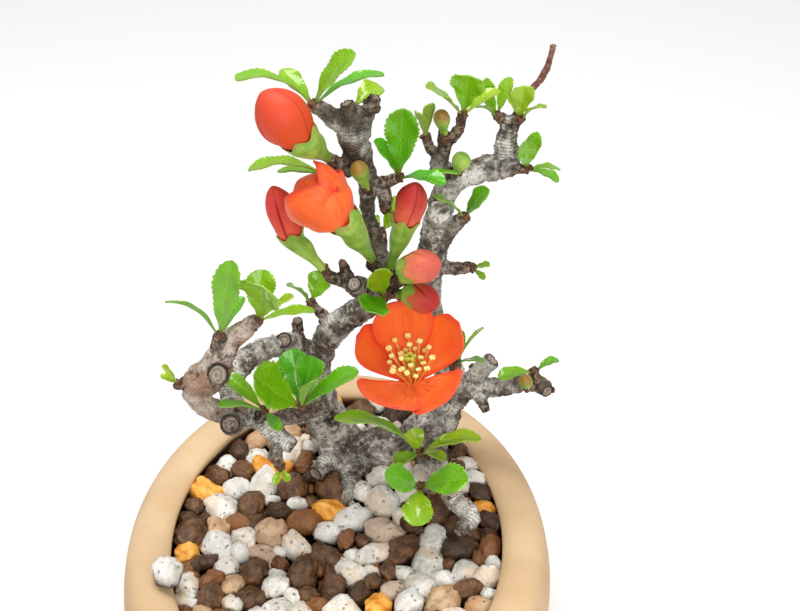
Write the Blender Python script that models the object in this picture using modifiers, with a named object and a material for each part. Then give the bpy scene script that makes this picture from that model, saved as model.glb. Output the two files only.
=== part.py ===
"""Flowering quince bonsai in an oval pot.

The tables hold millimetres and the meshes are made in metres, +Z up. The origin is the centre of the
pot's foot, on the surface that it stands on. The plant's front is -Y, and the pot's long axis is Y.
"""
import math
import random

import bmesh
import bpy
from mathutils import Matrix, Vector, noise

MM = 0.001
GAP = 0.35

# The pot's rings lie at an offset out from the opening's ellipse.
OPENING_X = 40.0
OPENING_Y = 52.7
POT_HEIGHT = 44.0
POT_SIDES = 32
FLOOR_TOP = 9.0
POT_OUTSIDE = [(-4, 0), (-3.5, 3), (4, 9), (10.3, 19), (12.25, 30), (11.6, 37), (9.9, 42), (8.2, 43.4),
               (4, POT_HEIGHT)]
POT_INSIDE = [(-4, FLOOR_TOP), (5, 21), (5, 33), (0, 42), (2, 45)]
FOOT_RECESS_OFFSET = -9.0
FOOT_RECESS_DEPTH = 2.5
DRAIN_RADIUS = 6.0
DRAIN_Y = 22.0
NOTCH_WIDTH = 10.0
NOTCH_HEIGHT = 2.0

# The plastic mesh over each drain hole
MESH_SIZE = 18.0
MESH_THICKNESS = 0.9
MESH_HOLES = 3
MESH_HOLE = 3.8

# Soil: a core that fills the pot, with grains sunk into its top
SOIL_SIDES = 16
SOIL_EDGE_TOP = 36.6
GRAIN_COUNT = 98
GRAIN_THROWS = 9000
GRAIN_RADIUS = (3.9, 5.6)
GRAIN_SPACING = 0.72
GRAIN_REACH = 0.4
TREE_FOOT = Vector((11, 30, 44))
MOUND_HEIGHT = 5.0
MOUND_REACH = 34.0
MOUND_SIDES = 10
MOUND_SHAPE = (1.0, 0.6)
MOUND_RINGS = [(24, -4), (24, 1), (12, MOUND_HEIGHT)]
BED_OVER_EDGE = 1.2
RIM_GRAIN = Vector((-39, -17, 47))
RIM_GRAIN_RADIUS = 3.6

# Leaves, petals and their feet
BLADE_THICKNESS = 0.6
FOOT_RADIUS = 1.2
SOCKET_RADIUS = FOOT_RADIUS + 1.5 * GAP
TO_VIEWER = Vector((0, -0.81, 0.59))
TO_SKY = Vector((0, 0.59, 0.81))

# Wood: each limb is a route of (x, y, z, radius) points.
WOOD_TRIANGLES = 1950
WOOD_VOXEL = 0.5
BARK_RELIEF = 0.35
ROOT_CLEARANCE = 1.1
HOLE_VOXEL = 0.75
HOLE_TRIANGLES = 500
LIMBS = {
    "root_plug": [(11, 30, 45, 8), (11, 30, 37, 8.5), (11, 30, 29, 6), (11, 30, 23, 3)],
    "root_crown": [(-4, 31, 42, 4.5), (3, 29, 42, 7), (11, 29, 42, 8), (19, 31, 42, 7), (26, 33, 43, 5)],
    "front_root": [(5, 26, 43, 4.5), (3, 20, 43, 3.2), (2, 15, 42, 2.2), (1, 11, 41, 1.4)],
    "root_stub": [(2, 25, 44, 3.6), (-3, 22, 46, 2.8), (-6, 18, 46, 2.2)],
    "crown_nub": [(7, 24, 45, 2.2), (7, 20, 44, 1.5)],
    "left_trunk": [(2, 30, 41, 7), (-2, 30, 50, 6), (-5, 29, 61, 4.4), (-5, 28, 73, 3.2), (-1, 26, 85, 3.3),
                   (6, 24, 93, 3.1), (11, 23, 100, 2.6), (11, 22, 108, 2), (10, 22, 114, 1.8),
                   (8, 22, 121, 1.7), (8, 21, 129, 2), (7, 20, 136, 2.6), (5, 20, 142, 3.4),
                   (5, 20, 147, 2.5), (4, 20, 150, 1.6)],
    "right_trunk": [(20, 31, 44, 7), (25, 31, 53, 5.5), (27, 31, 61, 4.2), (27, 29, 77, 3), (23, 27, 90, 2.8),
                    (22, 26, 101, 3.2), (23, 26, 109, 3.5), (24, 27, 118, 3), (27, 28, 125, 2.7),
                    (34, 30, 128, 2.9), (39, 31, 129, 3.2), (39, 32, 134, 2.5), (40, 33, 139, 2)],
    "top_right_twig": [(41, 33, 139, 1.2), (43, 34, 144, 0.9), (47, 35, 149, 0.8), (49, 36, 156, 0.7)],
    "right_branch": [(27, 31, 59, 4.6), (33, 30, 65, 3.4), (38, 29, 65, 2.6), (43, 27, 67, 2.1),
                     (48, 24, 71, 1.8), (50, 21, 72, 2.3), (51, 19, 72, 1.7)],
    "right_stub": [(33, 30, 65, 2.8), (35, 30, 69, 2.4), (38, 30, 73, 2.1)],
    "front_branch": [(23, 28, 52, 4.4), (24, 16, 55, 2.9), (26, 4, 55, 2.2), (29, -2, 55, 2.3),
                     (32, -6, 54, 2.4), (29, -10, 53, 1.6)],
    "left_arm": [(-5, 28, 72, 3.2), (-8, 24, 81, 2.8), (-12, 18, 87, 2.7), (-17, 13, 89, 2.7),
                 (-21, 7, 90, 2.7), (-23, 2, 87, 2.6), (-22, -2, 84, 2.6), (-16, -4, 82, 2.3),
                 (-13, -5, 79, 2.3), (-9, -7, 77, 1.8)],
    "knob": [(-22, -4, 85, 2.6), (-26, -6, 87, 2.4), (-29, -7, 91, 2.7), (-29, -7, 96, 3.4),
             (-26, -7, 98, 4.1), (-23, -7, 104, 3), (-20, -6, 108, 2.4), (-15, -6, 112, 1.5)],
    "arm_cut": [(-22, -3, 83, 2.6), (-22, -8, 85, 2.7), (-22, -12, 88, 2.4)],
    "arm_twig": [(-15, -4, 81, 1.9), (-11, -4, 83, 1.8), (-7, -4, 84, 1.8), (-1, -3, 86, 1.6)],
    "arm_twig_spur": [(-7, -4, 84, 1.6), (-7, -5, 87, 1.2)],
    "arm_spur": [(-12, -6, 78, 1.6), (-13, -8, 76, 1.6), (-12, -9, 73, 1.3)],
    "arm_low_spur": [(-17, -4, 82, 1.6), (-15, -6, 87, 1.2)],
    "arm_upright": [(-9, 24, 81, 2), (-9, 23, 86, 1.4), (-9, 22, 91, 1.3)],
    "arm_scar": [(-11, 20, 84, 2.4), (-12, 17, 89, 2.2)],
    "knob_bud_seat": [(-29, -7, 96, 2), (-33, -8, 96, 1.2)],
    "left_spur": [(-24, -8, 106, 1.6), (-23, -9, 110, 1.4)],
    "junction_cut": [(9, 22, 99, 2.8), (7, 17, 104, 2.4), (5, 13, 108, 2)],
    "junction_spur": [(6, 20, 101, 2), (3, 18, 105, 1.6), (0, 17, 107, 1.4), (-2, 16, 110, 1.2)],
    "junction_nub": [(4, 18, 105, 1.5), (3, 18, 108, 1.2), (2, 18, 111, 1)],
    "flower_spur": [(11, 22, 106, 1.8), (9, 19, 109, 1.4), (9, 17, 112, 1.2)],
    "bud_spur": [(11, 22, 103, 2), (13, 19, 106, 1.7), (13, 18, 109, 1.4)],
    "low_bud_spur": [(12, 22, 101, 1.9), (14, 18, 102, 1.4), (15, 16, 103, 1.2)],
    "pink_bud_spur": [(13, 20, 104, 1.5), (16, 13, 109, 1.2)],
    "pair_spur": [(11, 22, 101, 1.8), (12, 18, 102, 1.3), (12, 14, 104, 1.1)],
    "back_spur": [(11, 22, 109, 1.8), (11, 26, 111, 1.4), (11, 28, 112, 1.2)],
    "back_twig": [(-2, 26, 88, 1.8), (-4, 27, 90, 1.3), (-6, 28, 92, 1.1)],
    "top_left_stub": [(5, 20, 145, 2.6), (2, 20, 146, 2.2), (-1, 19, 149, 1.8), (-3, 18, 151, 1.5)],
    "top_right_stub": [(7, 21, 142, 2), (8, 21, 146, 1.7), (10, 21, 151, 1.4)],
    "crown_back_spur": [(5, 20, 146, 1.8), (5, 24, 147, 1.2)],
    "bud_a_spur": [(6, 20, 134, 1.9), (3, 18, 136, 1.6), (0, 16, 139, 1.4)],
    "bud_side_spur": [(6, 20, 134, 1.6), (2, 21, 133, 1.3), (-1, 21, 132, 1.1)],
    "bud_g_spur": [(8, 21, 129, 1.8), (8, 17, 131, 1.2)],
    "upper_spur": [(8, 21, 128, 2.2), (11, 20, 130, 1.6), (15, 18, 133, 1.3)],
    "upper_nub": [(11, 20, 130, 1.7), (12, 19, 127, 1.6), (12, 18, 125, 1.2)],
    "right_fork": [(28, 28, 126, 2.4), (24, 27, 131, 2.2), (25, 26, 135, 1.6), (25, 25, 140, 1.3)],
    "fork_left": [(24, 27, 133, 1.4), (22, 27, 135, 1.2), (21, 27, 138, 1.1)],
    "fork_right": [(25, 26, 136, 1.4), (28, 26, 140, 1.2), (29, 26, 144, 1.1)],
    "bud_i_spur": [(26, 27, 128, 1.6), (28, 24, 131, 1.1)],
    "twig_left": [(40, 33, 138, 1.7), (37, 33, 140, 1.2)],
    "twig_right": [(40, 33, 137, 1.8), (42, 30, 141, 1.1)],
    "elbow_knob": [(39, 31, 129, 3), (40, 28, 129, 2.4)],
    "elbow_tip": [(40, 30, 128, 1.6), (44, 30, 128, 1.1)],
    "mid_stub": [(24, 26, 111, 2.4), (27, 25, 115, 1.9), (30, 24, 119, 1.5)],
    "mid_cut": [(24, 26, 118, 2.9), (24, 21, 122, 2.5)],
    "side_stub": [(23, 26, 105, 2.4), (27, 25, 104, 1.7), (32, 24, 105, 1.4)],
    "open_flower_spur": [(27, 30, 59, 2.4), (23, 22, 66, 1.8), (19, 13, 74, 1.4)],
    "right_leaf_spur": [(27, 30, 65, 2.2), (29, 27, 71, 1.5), (29, 25, 76, 1.2)],
    "low_leaf_spur": [(25, 20, 53, 2.2), (22, 13, 58, 1.5), (20, 9, 61, 1.2)],
    "front_leaf_spur": [(26, 5, 54, 1.7), (22, 1, 57, 1.3), (20, -3, 61, 1.1)],
    "right_nub": [(35, 28, 64, 2), (37, 26, 60, 1.3)],
    "end_spur": [(50, 21, 72, 1.5), (48, 23, 75, 1.1)],
    "end_bud_spur": [(49, 21, 72, 1.5), (46, 18, 74, 1.1)],
}
SOIL_LIMBS = ["root_plug", "root_crown", "front_root", "root_stub", "crown_nub", "left_trunk",
              "right_trunk", "front_branch"]

# Leaf sprays: the limb whose end carries the spray, then for each leaf its tip, width, how far its face
# turns from the viewer to the sky in degrees, and how high it arches
SPRAYS = {
    "leaves_crown_left": ("top_left_stub", [((-19, 16, 158), 5, 60, 3), ((-10, 24, 156), 4.4, 40, 0.8),
                                            ((6, 16, 164), 6.4, 35, 1.1), ((12, 20, 157), 4.8, 60, 1.7)]),
    "leaves_crown_back": ("crown_back_spur", [((11, 30, 149), 5.6, 30, 1.1)]),
    "leaves_bud_side": ("bud_side_spur", [((-18, 20, 133.6), 5.4, 60, 2.4), ((-12, 24, 131), 2.8, 60, 0.6)]),
    "leaves_mid_glossy": ("upper_spur", [((16, 12, 153), 7.8, 10, -0.7), ((10, 13, 145), 4.3, 30, 0.7),
                                         ((25, 12, 135), 4.8, 50, 1.3), ((28, 18, 134), 3, 70, 0.7)]),
    "leaves_fork_left": ("fork_left", [((19, 22, 147), 3, 40, 0.4), ((22, 24, 148), 3, 50, 0.4)]),
    "leaves_fork_right": ("fork_right", [((30, 23, 155), 8, 20, -0.4), ((21, 20, 154), 5.4, 45, 0.7),
                                         ((37, 28, 149), 3.9, 55, 0.7)]),
    "leaves_tip_left": ("twig_left", [((33, 31, 149), 5.4, 25, 0.4), ((40, 36, 148), 3.6, 50, 0.7),
                                      ((32, 28, 145), 2.6, 70, 0.7)]),
    "leaves_tip_right": ("twig_right", [((42, 26, 151), 5.3, 20, 0.4), ((39, 30, 147), 3, 40, 0.4),
                                        ((47, 26, 146), 3.1, 65, 0.9)]),
    "leaves_elbow": ("elbow_tip", [((43, 25, 138), 4.5, 10, 0.5), ((46, 31, 137), 3.6, 20, 0.5),
                                   ((51, 26, 127), 3.6, 60, 0.9), ((52, 33, 126), 3.2, 60, 0.7)]),
    "leaves_mid_right": ("mid_stub", [((23, 18, 128), 3.2, 45, 0.7), ((35, 21, 128), 5, 30, 0.7),
                                      ((33, 28, 120), 3, 60, 0.5)]),
    "leaves_back": ("back_spur", [((16, 34, 118), 5.1, 20, 0.7), ((8, 33, 113), 3.7, 35, 0.7)]),
    "leaves_knob_side": ("left_spur", [((-33, -13, 122), 3, 85, 2.1), ((-19, -10, 130), 6.6, 25, 0.6),
                                       ((-18, -3, 116), 3, 60, 0.6)]),
    "leaves_knob_end": ("knob", [((-13, -12, 125), 10.5, 15, -0.6), ((-14, 0, 121), 6.8, 20, 0),
                                 ((-7, -10, 121), 3.8, 50, 0.6), ((-3, -4, 113), 3.8, 60, 0.9)]),
    "leaves_back_left": ("back_twig", [((-3, 31, 99), 6.2, 20, 0), ((-11, 24, 100), 3.8, 60, 0.7)]),
    "leaves_arm_glossy": ("arm_twig_spur", [((-16, -11, 101), 11, 25, -0.9), ((-9, 2, 98), 7.5, 25, 0),
                                            ((-4, -2, 99), 7, 15, 0), ((-3, -10, 99), 4.4, 50, 0.7),
                                            ((6, -3, 96), 5.4, 45, 1.1)]),
    "leaves_arm_low": ("arm_low_spur", [((-24, -1, 93), 4.4, 45, 0.9), ((-24, -13, 94), 3.5, 60, 0.9),
                                        ((-11, -14, 88), 2.8, 40, 0.4)]),
    "leaves_centre": ("pair_spur", [((10, 8, 115), 6.6, 10, -0.5), ((8, 3, 108), 8, 15, -0.5)]),
    "leaves_flower_side": ("right_leaf_spur", [((35, 22, 89), 3.4, 55, 0.7), ((35, 18, 82), 2.9, 60, 0.7),
                                               ((30, 22, 88), 3.4, 30, 0.5)]),
    "leaves_branch_end": ("end_spur", [((39, 19, 76), 4.4, 50, 1), ((54, 25, 77), 3.2, 60, 0.8)]),
    "leaves_low_fan": ("low_leaf_spur", [((0, 4, 76), 6, 60, 3.2), ((18, 11, 67), 5.3, 25, 0.5),
                                         ((35, 12, 63), 5.8, 60, 1.7), ((26, 3, 64), 3.4, 60, 1),
                                         ((14, 3, 63), 3.9, 40, 0.7)]),
    "leaves_low_front": ("front_leaf_spur", [((12, -8, 69), 7.4, 25, 0.7), ((31, -7, 67), 8.4, 30, 0.9),
                                             ((19, -13, 58), 7.8, 20, 0.9)]),
    "sprout_knob": ("knob_bud_seat", [((-36, -9, 102), 2.4, 50, 0.2), ((-37, -7, 98), 2, 50, 0.2)]),
    "sprout_arm": ("arm_spur", [((-13, -12, 70), 2, 50, 0.2), ((-10, -11, 70), 2, 50, 0.2)]),
    "sprout_nub": ("upper_nub", [((13, 15, 122), 2.2, 50, 0.2), ((15, 17, 123), 2, 50, 0.2)]),
    "sprout_side": ("side_stub", [((36, 22, 107), 2.6, 50, 0.3), ((35, 22, 103), 2, 50, 0.3)]),
}

# Blooms: the limb whose end carries it, the top of its green cup, the way it faces, and the cup's radius
OPEN_FLOWER = ("open_flower_spur", Vector((18.2, 8.9, 81.9)), Vector((-0.08, -0.25, 0.96)), 2.6)
HALF_FLOWER = ("flower_spur", Vector((3.8, 8.9, 127.3)), Vector((-0.74, 0.1, 0.66)), 3.4)
# Petals: turn round the axis, length, width, the angle from the axis at the claw and at the tip, and how
# sharply the tip closes
OPEN_PETALS = [(12, 20, 14.5, 60, 14, 0.55), (60, 17.5, 11.8, 76, 24, 0.55), (147, 14, 16.5, 84, 38, 0.5),
               (229, 13.5, 15.5, 88, 42, 0.5), (310, 19, 11.6, 72, 18, 0.55)]
HALF_PETALS = [(345, 10.5, 11, 66, 24, 0.55), (316, 17, 9, 72, -28, 1.6), (215, 17.5, 15, 78, -45, 0.55)]
CLAW_POWER = 2.0
OPEN_HOLLOW = 0.25
HALF_HOLLOW = 0.7
HALF_HEART_LENGTH = 14.5
HALF_HEART_RADIUS = 6.3
PETAL_GRID = 4
# The green cups: sides, wall, how deep the hollow at the top is, and how far their lobes rise
CUP_SIDES = 10
CUP_WALL = 0.7
CUP_DEPTH = 0.8
BUD_LOBE = 1.0
OPEN_LOBE = 0.5
HALF_LOBE = 1.4
# The petals' seat ends this far above the top of the green cup.
SEAT_TOP = 1.3
PETAL_SINK = 0.3
STAMEN_COUNT = 14
STAMEN_LEAN = 0.15
STAMEN_LENGTH = 8.4
STAMEN_DISC_RADIUS = 1.3
STAMEN_DISC_HEIGHT = 0.8
STYLE_LENGTH = 8.5
STYLE_RADIUS = 0.9
# Share of the length and share of the radius of a rolled bud, above its lowest two rings
BUD_PROFILE = [(0.36, 0.97), (0.58, 0.98), (0.80, 0.70), (0.97, 0.18)]
BUD_SIDES = 15
BUD_TWIST = 1.3
GREEN_BUD_PROFILE = [(-0.13, 0.3), (0.0, 0.5), (0.3, 0.55), (0.5, 1.0), (0.75, 0.95), (0.98, 0.3)]
GREEN_BUD_TWIST = 0.9
# Buds: limb, top of the green cup, tip of the petals, radius of the petals
BUDS = {
    "bud_a": ("bud_a_spur", Vector((-5, 10, 147)), Vector((-13, 10, 158)), 5.6),
    "bud_b": ("junction_spur", Vector((-9, 17.5, 118.3)), Vector((-12.8, 18.5, 130.4)), 3.5),
    "bud_c": ("bud_spur", Vector((16.5, 14, 124)), Vector((19, 14, 134)), 3.5),
    "bud_d": ("pink_bud_spur", Vector((17, 10, 114)), Vector((24, 7, 118)), 3.8),
    "bud_e": ("low_bud_spur", Vector((18, 12, 106)), Vector((24, 8, 106)), 3.3),
}
# Green buds: limb, tip, radius
GREEN_BUDS = {
    "green_bud_f": ("right_fork", Vector((24, 22, 147)), 1.8),
    "green_bud_g": ("bud_g_spur", Vector((6, 14, 139)), 2.0),
    "green_bud_i": ("bud_i_spur", Vector((29, 20, 137)), 2.1),
    "green_bud_j": ("end_bud_spur", Vector((45, 15, 79)), 1.7),
}

PART = "quince_bonsai"
CUTTERS = "cutters"


def start_scene():
    for old in list(bpy.data.objects):
        bpy.data.objects.remove(old, do_unlink=True)
    for name in (PART, CUTTERS):
        bpy.context.scene.collection.children.link(bpy.data.collections.new(name))


def surface(name, colour, roughness):
    material = bpy.data.materials.new(name)
    material.use_nodes = True
    shader = material.node_tree.nodes["Principled BSDF"]
    shader.inputs["Base Color"].default_value = (*colour, 1)
    shader.inputs["Roughness"].default_value = roughness
    shader.inputs["Metallic"].default_value = 0.0
    material.diffuse_color = (*colour, 1)
    return material


def add_object(name, bm, collection=CUTTERS):
    """Turn a millimetre bmesh into an object in metres; cutters and repeats stay hidden."""
    bm.transform(Matrix.Scale(MM, 4))
    mesh = bpy.data.meshes.new(name)
    bm.to_mesh(mesh)
    bm.free()
    thing = bpy.data.objects.new(name, mesh)
    bpy.data.collections[collection].objects.link(thing)
    if collection == CUTTERS:
        hide(thing)
    return thing


def hide(thing):
    thing.hide_render = True
    thing.display_type = "WIRE"


def apply_modifiers(thing):
    bpy.context.view_layer.update()
    shaped = thing.evaluated_get(bpy.context.evaluated_depsgraph_get())
    mesh = bpy.data.meshes.new_from_object(shaped)
    thing.modifiers.clear()
    thing.data = mesh


def remove(things):
    for thing in list(things):
        bpy.data.objects.remove(thing, do_unlink=True)


def cut(thing, cutter):
    boolean = thing.modifiers.new("cut", "BOOLEAN")
    boolean.operation = "DIFFERENCE"
    boolean.solver = "EXACT"
    boolean.object = cutter
    apply_modifiers(thing)
    remove([cutter])


def join_all(things, operation="UNION"):
    """One Boolean on a collection joins the rest to the first, or cuts them from it."""
    first, rest = things[0], things[1:]
    group = bpy.data.collections.new("repeats")
    bpy.context.scene.collection.children.link(group)
    for thing in rest:
        group.objects.link(thing)
    boolean = first.modifiers.new("join", "BOOLEAN")
    boolean.operation = operation
    boolean.solver = "MANIFOLD"
    boolean.operand_type = "COLLECTION"
    boolean.collection = group
    apply_modifiers(first)
    remove(rest)
    bpy.data.collections.remove(group)
    keep_largest_body(first)
    return first


def keep_largest_body(thing):
    """Drop the loose scraps that a cut leaves, and fill the hollows that a union seals."""
    bm = bmesh.new()
    bm.from_mesh(thing.data)
    bodies, left = [], set(bm.verts)
    while left:
        body, reached = set(), [left.pop()]
        while reached:
            vertex = reached.pop()
            body.add(vertex)
            for edge in vertex.link_edges:
                other = edge.other_vert(vertex)
                if other in left:
                    left.discard(other)
                    reached.append(other)
        bodies.append(body)
    bodies.sort(key=len)
    for scrap in bodies[:-1]:
        bmesh.ops.delete(bm, geom=list(scrap), context="VERTS")
    bm.to_mesh(thing.data)
    bm.free()


def finish(thing, name, material, sharp_degrees=None):
    """Name a finished piece, give it its material and show it in the part's collection."""
    thing.name = name
    thing.data.name = name
    thing.data.materials.clear()
    thing.data.materials.append(material)
    if sharp_degrees is not None:
        thing.data.shade_smooth()
        thing.data.set_sharp_from_angle(angle=math.radians(sharp_degrees))
    for collection in list(thing.users_collection):
        collection.objects.unlink(thing)
    bpy.data.collections[PART].objects.link(thing)
    thing.hide_render = False
    thing.display_type = "TEXTURED"
    return thing


def loft(name, rings):
    """A closed solid through rings of equal point counts, listed from the bottom up."""
    bm = bmesh.new()
    rows = [[bm.verts.new(point) for point in ring] for ring in rings]
    count = len(rows[0])
    for low, high in zip(rows, rows[1:]):
        for i in range(count):
            j = (i + 1) % count
            bm.faces.new((low[i], low[j], high[j], high[i]))
    bm.faces.new(reversed(rows[0]))
    bm.faces.new(rows[-1])
    return add_object(name, bm)


def oval_ring(offset, z, sides):
    turns = [2 * math.pi * i / sides for i in range(sides)]
    return [((OPENING_X + offset) * math.cos(a), (OPENING_Y + offset) * math.sin(a), z) for a in turns]


def oval_solid(name, profile, sides):
    return loft(name, [oval_ring(offset, z, sides) for offset, z in profile])


def block(name, size, centre):
    bm = bmesh.new()
    bmesh.ops.create_cube(bm, size=1, matrix=Matrix.LocRotScale(Vector(centre), None, Vector(size)))
    return add_object(name, bm)


def build_pot():
    pot = oval_solid("pot", POT_OUTSIDE, POT_SIDES)
    cut(pot, oval_solid("pot_inside", POT_INSIDE, POT_SIDES))
    recess = [(FOOT_RECESS_OFFSET, -1), (FOOT_RECESS_OFFSET, FOOT_RECESS_DEPTH)]
    cut(pot, oval_solid("foot_recess", recess, POT_SIDES))
    for side in (-1, 1):
        bm = bmesh.new()
        place = Matrix.Translation((0, side * DRAIN_Y, FLOOR_TOP / 2))
        bmesh.ops.create_cone(bm, cap_ends=True, segments=20, radius1=DRAIN_RADIUS, radius2=DRAIN_RADIUS,
                              depth=2 * FLOOR_TOP, matrix=place)
        cut(pot, add_object("drain", bm))
    cut(pot, block("notch", (4 * OPENING_X, NOTCH_WIDTH, 2 * NOTCH_HEIGHT), (0, 0, 0)))
    return finish(pot, "pot", surface("tan_ceramic", (0.60, 0.40, 0.22), 0.75), 40)


def build_drain_meshes():
    plastic = surface("black_plastic", (0.03, 0.03, 0.03), 0.6)
    pitch = MESH_SIZE / MESH_HOLES
    centre_z = FLOOR_TOP + GAP + MESH_THICKNESS / 2
    for label, side in (("front", -1), ("back", 1)):
        sheet = block("sheet", (MESH_SIZE, MESH_SIZE, MESH_THICKNESS), (0, side * DRAIN_Y, centre_z))
        holes = []
        for i in range(MESH_HOLES * MESH_HOLES):
            x = (i % MESH_HOLES - (MESH_HOLES - 1) / 2) * pitch
            y = (i // MESH_HOLES - (MESH_HOLES - 1) / 2) * pitch + side * DRAIN_Y
            holes.append(block("hole", (MESH_HOLE, MESH_HOLE, 3 * MESH_THICKNESS), (x, y, centre_z)))
        finish(join_all([sheet] + holes, "DIFFERENCE"), f"drain_mesh_{label}", plastic)


def soil_height(x, y):
    """Height of the grains' bed: level at the rim, mounded round the tree's foot."""
    reach = math.hypot(x - TREE_FOOT.x, y - TREE_FOOT.y) / MOUND_REACH
    return SOIL_EDGE_TOP + BED_OVER_EDGE + MOUND_HEIGHT * max(0.0, 1 - reach * reach)


def grain(place, radius, dice):
    bm = bmesh.new()
    bmesh.ops.create_cube(bm, size=1.28 * radius)
    for vertex in bm.verts:
        vertex.co *= dice.uniform(0.70, 1.10)
    stretch = Vector((dice.uniform(0.85, 1.2), dice.uniform(0.8, 1.05), dice.uniform(0.75, 0.95)))
    turn = Matrix.Rotation(dice.uniform(0, math.tau), 3, "Z") @ Matrix.Rotation(dice.uniform(0, 1.2), 3, "X")
    bm.transform(Matrix.LocRotScale(place, turn.to_quaternion(), stretch))
    return add_object("grain", bm)


def build_rim_grain():
    stone = grain(RIM_GRAIN, RIM_GRAIN_RADIUS, random.Random(3))
    finish(stone, "rim_grain", surface("white_pumice", (0.75, 0.73, 0.70), 0.9))


def grain_places(dice):
    """Throw grains into the opening and keep those that lie beside each other."""
    placed = []
    for _ in range(GRAIN_THROWS):
        radius = dice.uniform(*GRAIN_RADIUS)
        turn = dice.uniform(0, math.tau)
        reach = math.sqrt(dice.random())
        x = (OPENING_X + GRAIN_REACH - radius) * reach * math.cos(turn)
        y = (OPENING_Y + GRAIN_REACH - radius) * reach * math.sin(turn)
        place = Vector((x, y, soil_height(x, y)))
        if all((place - other).length > GRAIN_SPACING * (radius + size) for other, size in placed):
            placed.append((place, radius))
        if len(placed) == GRAIN_COUNT:
            break
    return placed


def limb_curve(name, limbs):
    """A curve whose splines are the limbs, each with its own radius along the way."""
    curve = bpy.data.curves.new(name, "CURVE")
    curve.dimensions = "3D"
    curve.bevel_depth = MM
    curve.bevel_resolution = 3
    curve.resolution_u = 5
    curve.use_fill_caps = True
    for limb in limbs:
        spline = curve.splines.new("BEZIER")
        spline.bezier_points.add(len(limb) - 1)
        for knot, (x, y, z, radius) in zip(spline.bezier_points, limb):
            knot.co = Vector((x, y, z)) * MM
            knot.radius = radius
            knot.handle_left_type = "AUTO"
            knot.handle_right_type = "AUTO"
    thing = bpy.data.objects.new(name, curve)
    bpy.data.collections[CUTTERS].objects.link(thing)
    return thing


def remesh(thing, voxel):
    skin = thing.modifiers.new("skin", "REMESH")
    skin.mode = "VOXEL"
    skin.voxel_size = voxel * MM
    apply_modifiers(thing)


def fused_limbs(name, limbs, voxel):
    """Limbs as one grown skin: welded tubes, remeshed together."""
    source = limb_curve(name, limbs)
    bpy.context.view_layer.update()
    mesh = bpy.data.meshes.new_from_object(source.evaluated_get(bpy.context.evaluated_depsgraph_get()))
    remove([source])
    bm = bmesh.new()
    bm.from_mesh(mesh)
    bmesh.ops.remove_doubles(bm, verts=bm.verts, dist=0.00001)
    bm.to_mesh(mesh)
    bm.free()
    thing = bpy.data.objects.new(name, mesh)
    bpy.data.collections[CUTTERS].objects.link(thing)
    hide(thing)
    remesh(thing, voxel)
    return thing


def swell(thing, clearance):
    """Grow a skin outwards on every side."""
    grow = thing.modifiers.new("grow", "DISPLACE")
    grow.strength = clearance * MM
    grow.mid_level = 0
    remesh(thing, HOLE_VOXEL)


def reduce_to(thing, triangles):
    thing.data.calc_loop_triangles()
    fewer = thing.modifiers.new("fewer", "DECIMATE")
    fewer.ratio = min(1.0, triangles / len(thing.data.loop_triangles))
    apply_modifiers(thing)


def roughen(thing, relief):
    """Push the skin in and out by noise, so that no limb stays a plain tube."""
    bm = bmesh.new()
    bm.from_mesh(thing.data)
    bm.normal_update()
    for vertex in bm.verts:
        place = vertex.co / MM
        height = noise.noise(place * 0.22) + 0.5 * noise.noise(place * 0.6)
        vertex.co += vertex.normal * height * relief * MM
    bm.to_mesh(thing.data)
    bm.free()


def limb_end(limb):
    return Vector(LIMBS[limb][-1][:3])


def ball(name, centre, radius, subdivisions):
    bm = bmesh.new()
    bmesh.ops.create_icosphere(bm, subdivisions=subdivisions, radius=radius,
                               matrix=Matrix.Translation(centre))
    return add_object(name, bm)


def seats():
    """The limbs whose ends carry a spray, a bloom or a bud."""
    carriers = [entry[0] for table in (SPRAYS, BUDS, GREEN_BUDS) for entry in table.values()]
    return carriers + [OPEN_FLOWER[0], HALF_FLOWER[0]]


def build_wood():
    wood = fused_limbs("wood", LIMBS.values(), WOOD_VOXEL)
    roughen(wood, BARK_RELIEF)
    reduce_to(wood, WOOD_TRIANGLES)
    sockets = [ball("socket", limb_end(limb), SOCKET_RADIUS, 1) for limb in seats()]
    join_all([wood] + sockets, "DIFFERENCE")
    return finish(wood, "wood", surface("grey_bark", (0.22, 0.18, 0.15), 0.85), 50)


def build_soil():
    dice = random.Random(7)
    profile = [(offset - GAP, z) for offset, z in POT_INSIDE if z < SOIL_EDGE_TOP]
    profile[0] = (profile[0][0], FLOOR_TOP + GAP)
    core = oval_solid("soil", profile + [(2, SOIL_EDGE_TOP), (-14, SOIL_EDGE_TOP + 0.8)], SOIL_SIDES)
    middle = Vector((TREE_FOOT.x, TREE_FOOT.y - 3, SOIL_EDGE_TOP))
    turns = [math.tau * i / MOUND_SIDES for i in range(MOUND_SIDES)]
    wide, deep = MOUND_SHAPE
    mound = loft("mound", [[middle + Vector((wide * r * math.cos(a), deep * r * math.sin(a), z))
                            for a in turns] for r, z in MOUND_RINGS])
    grains = [grain(place, radius, dice) for place, radius in grain_places(dice)]
    soil = join_all([core, mound] + grains)
    roots = [LIMBS[name][:3] if name.endswith("trunk") else LIMBS[name] for name in SOIL_LIMBS]
    hole = fused_limbs("root_hole", roots, HOLE_VOXEL)
    swell(hole, ROOT_CLEARANCE)
    reduce_to(hole, HOLE_TRIANGLES)
    recesses = [block("recess", (MESH_SIZE + 2 * GAP, MESH_SIZE + 2 * GAP, 2 * (MESH_THICKNESS + GAP)),
                      (0, side * DRAIN_Y, FLOOR_TOP + GAP)) for side in (-1, 1)]
    join_all([soil, hole] + recesses, "DIFFERENCE")
    return finish(soil, "soil", surface("soil_grains", (0.42, 0.36, 0.30), 0.9))


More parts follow.
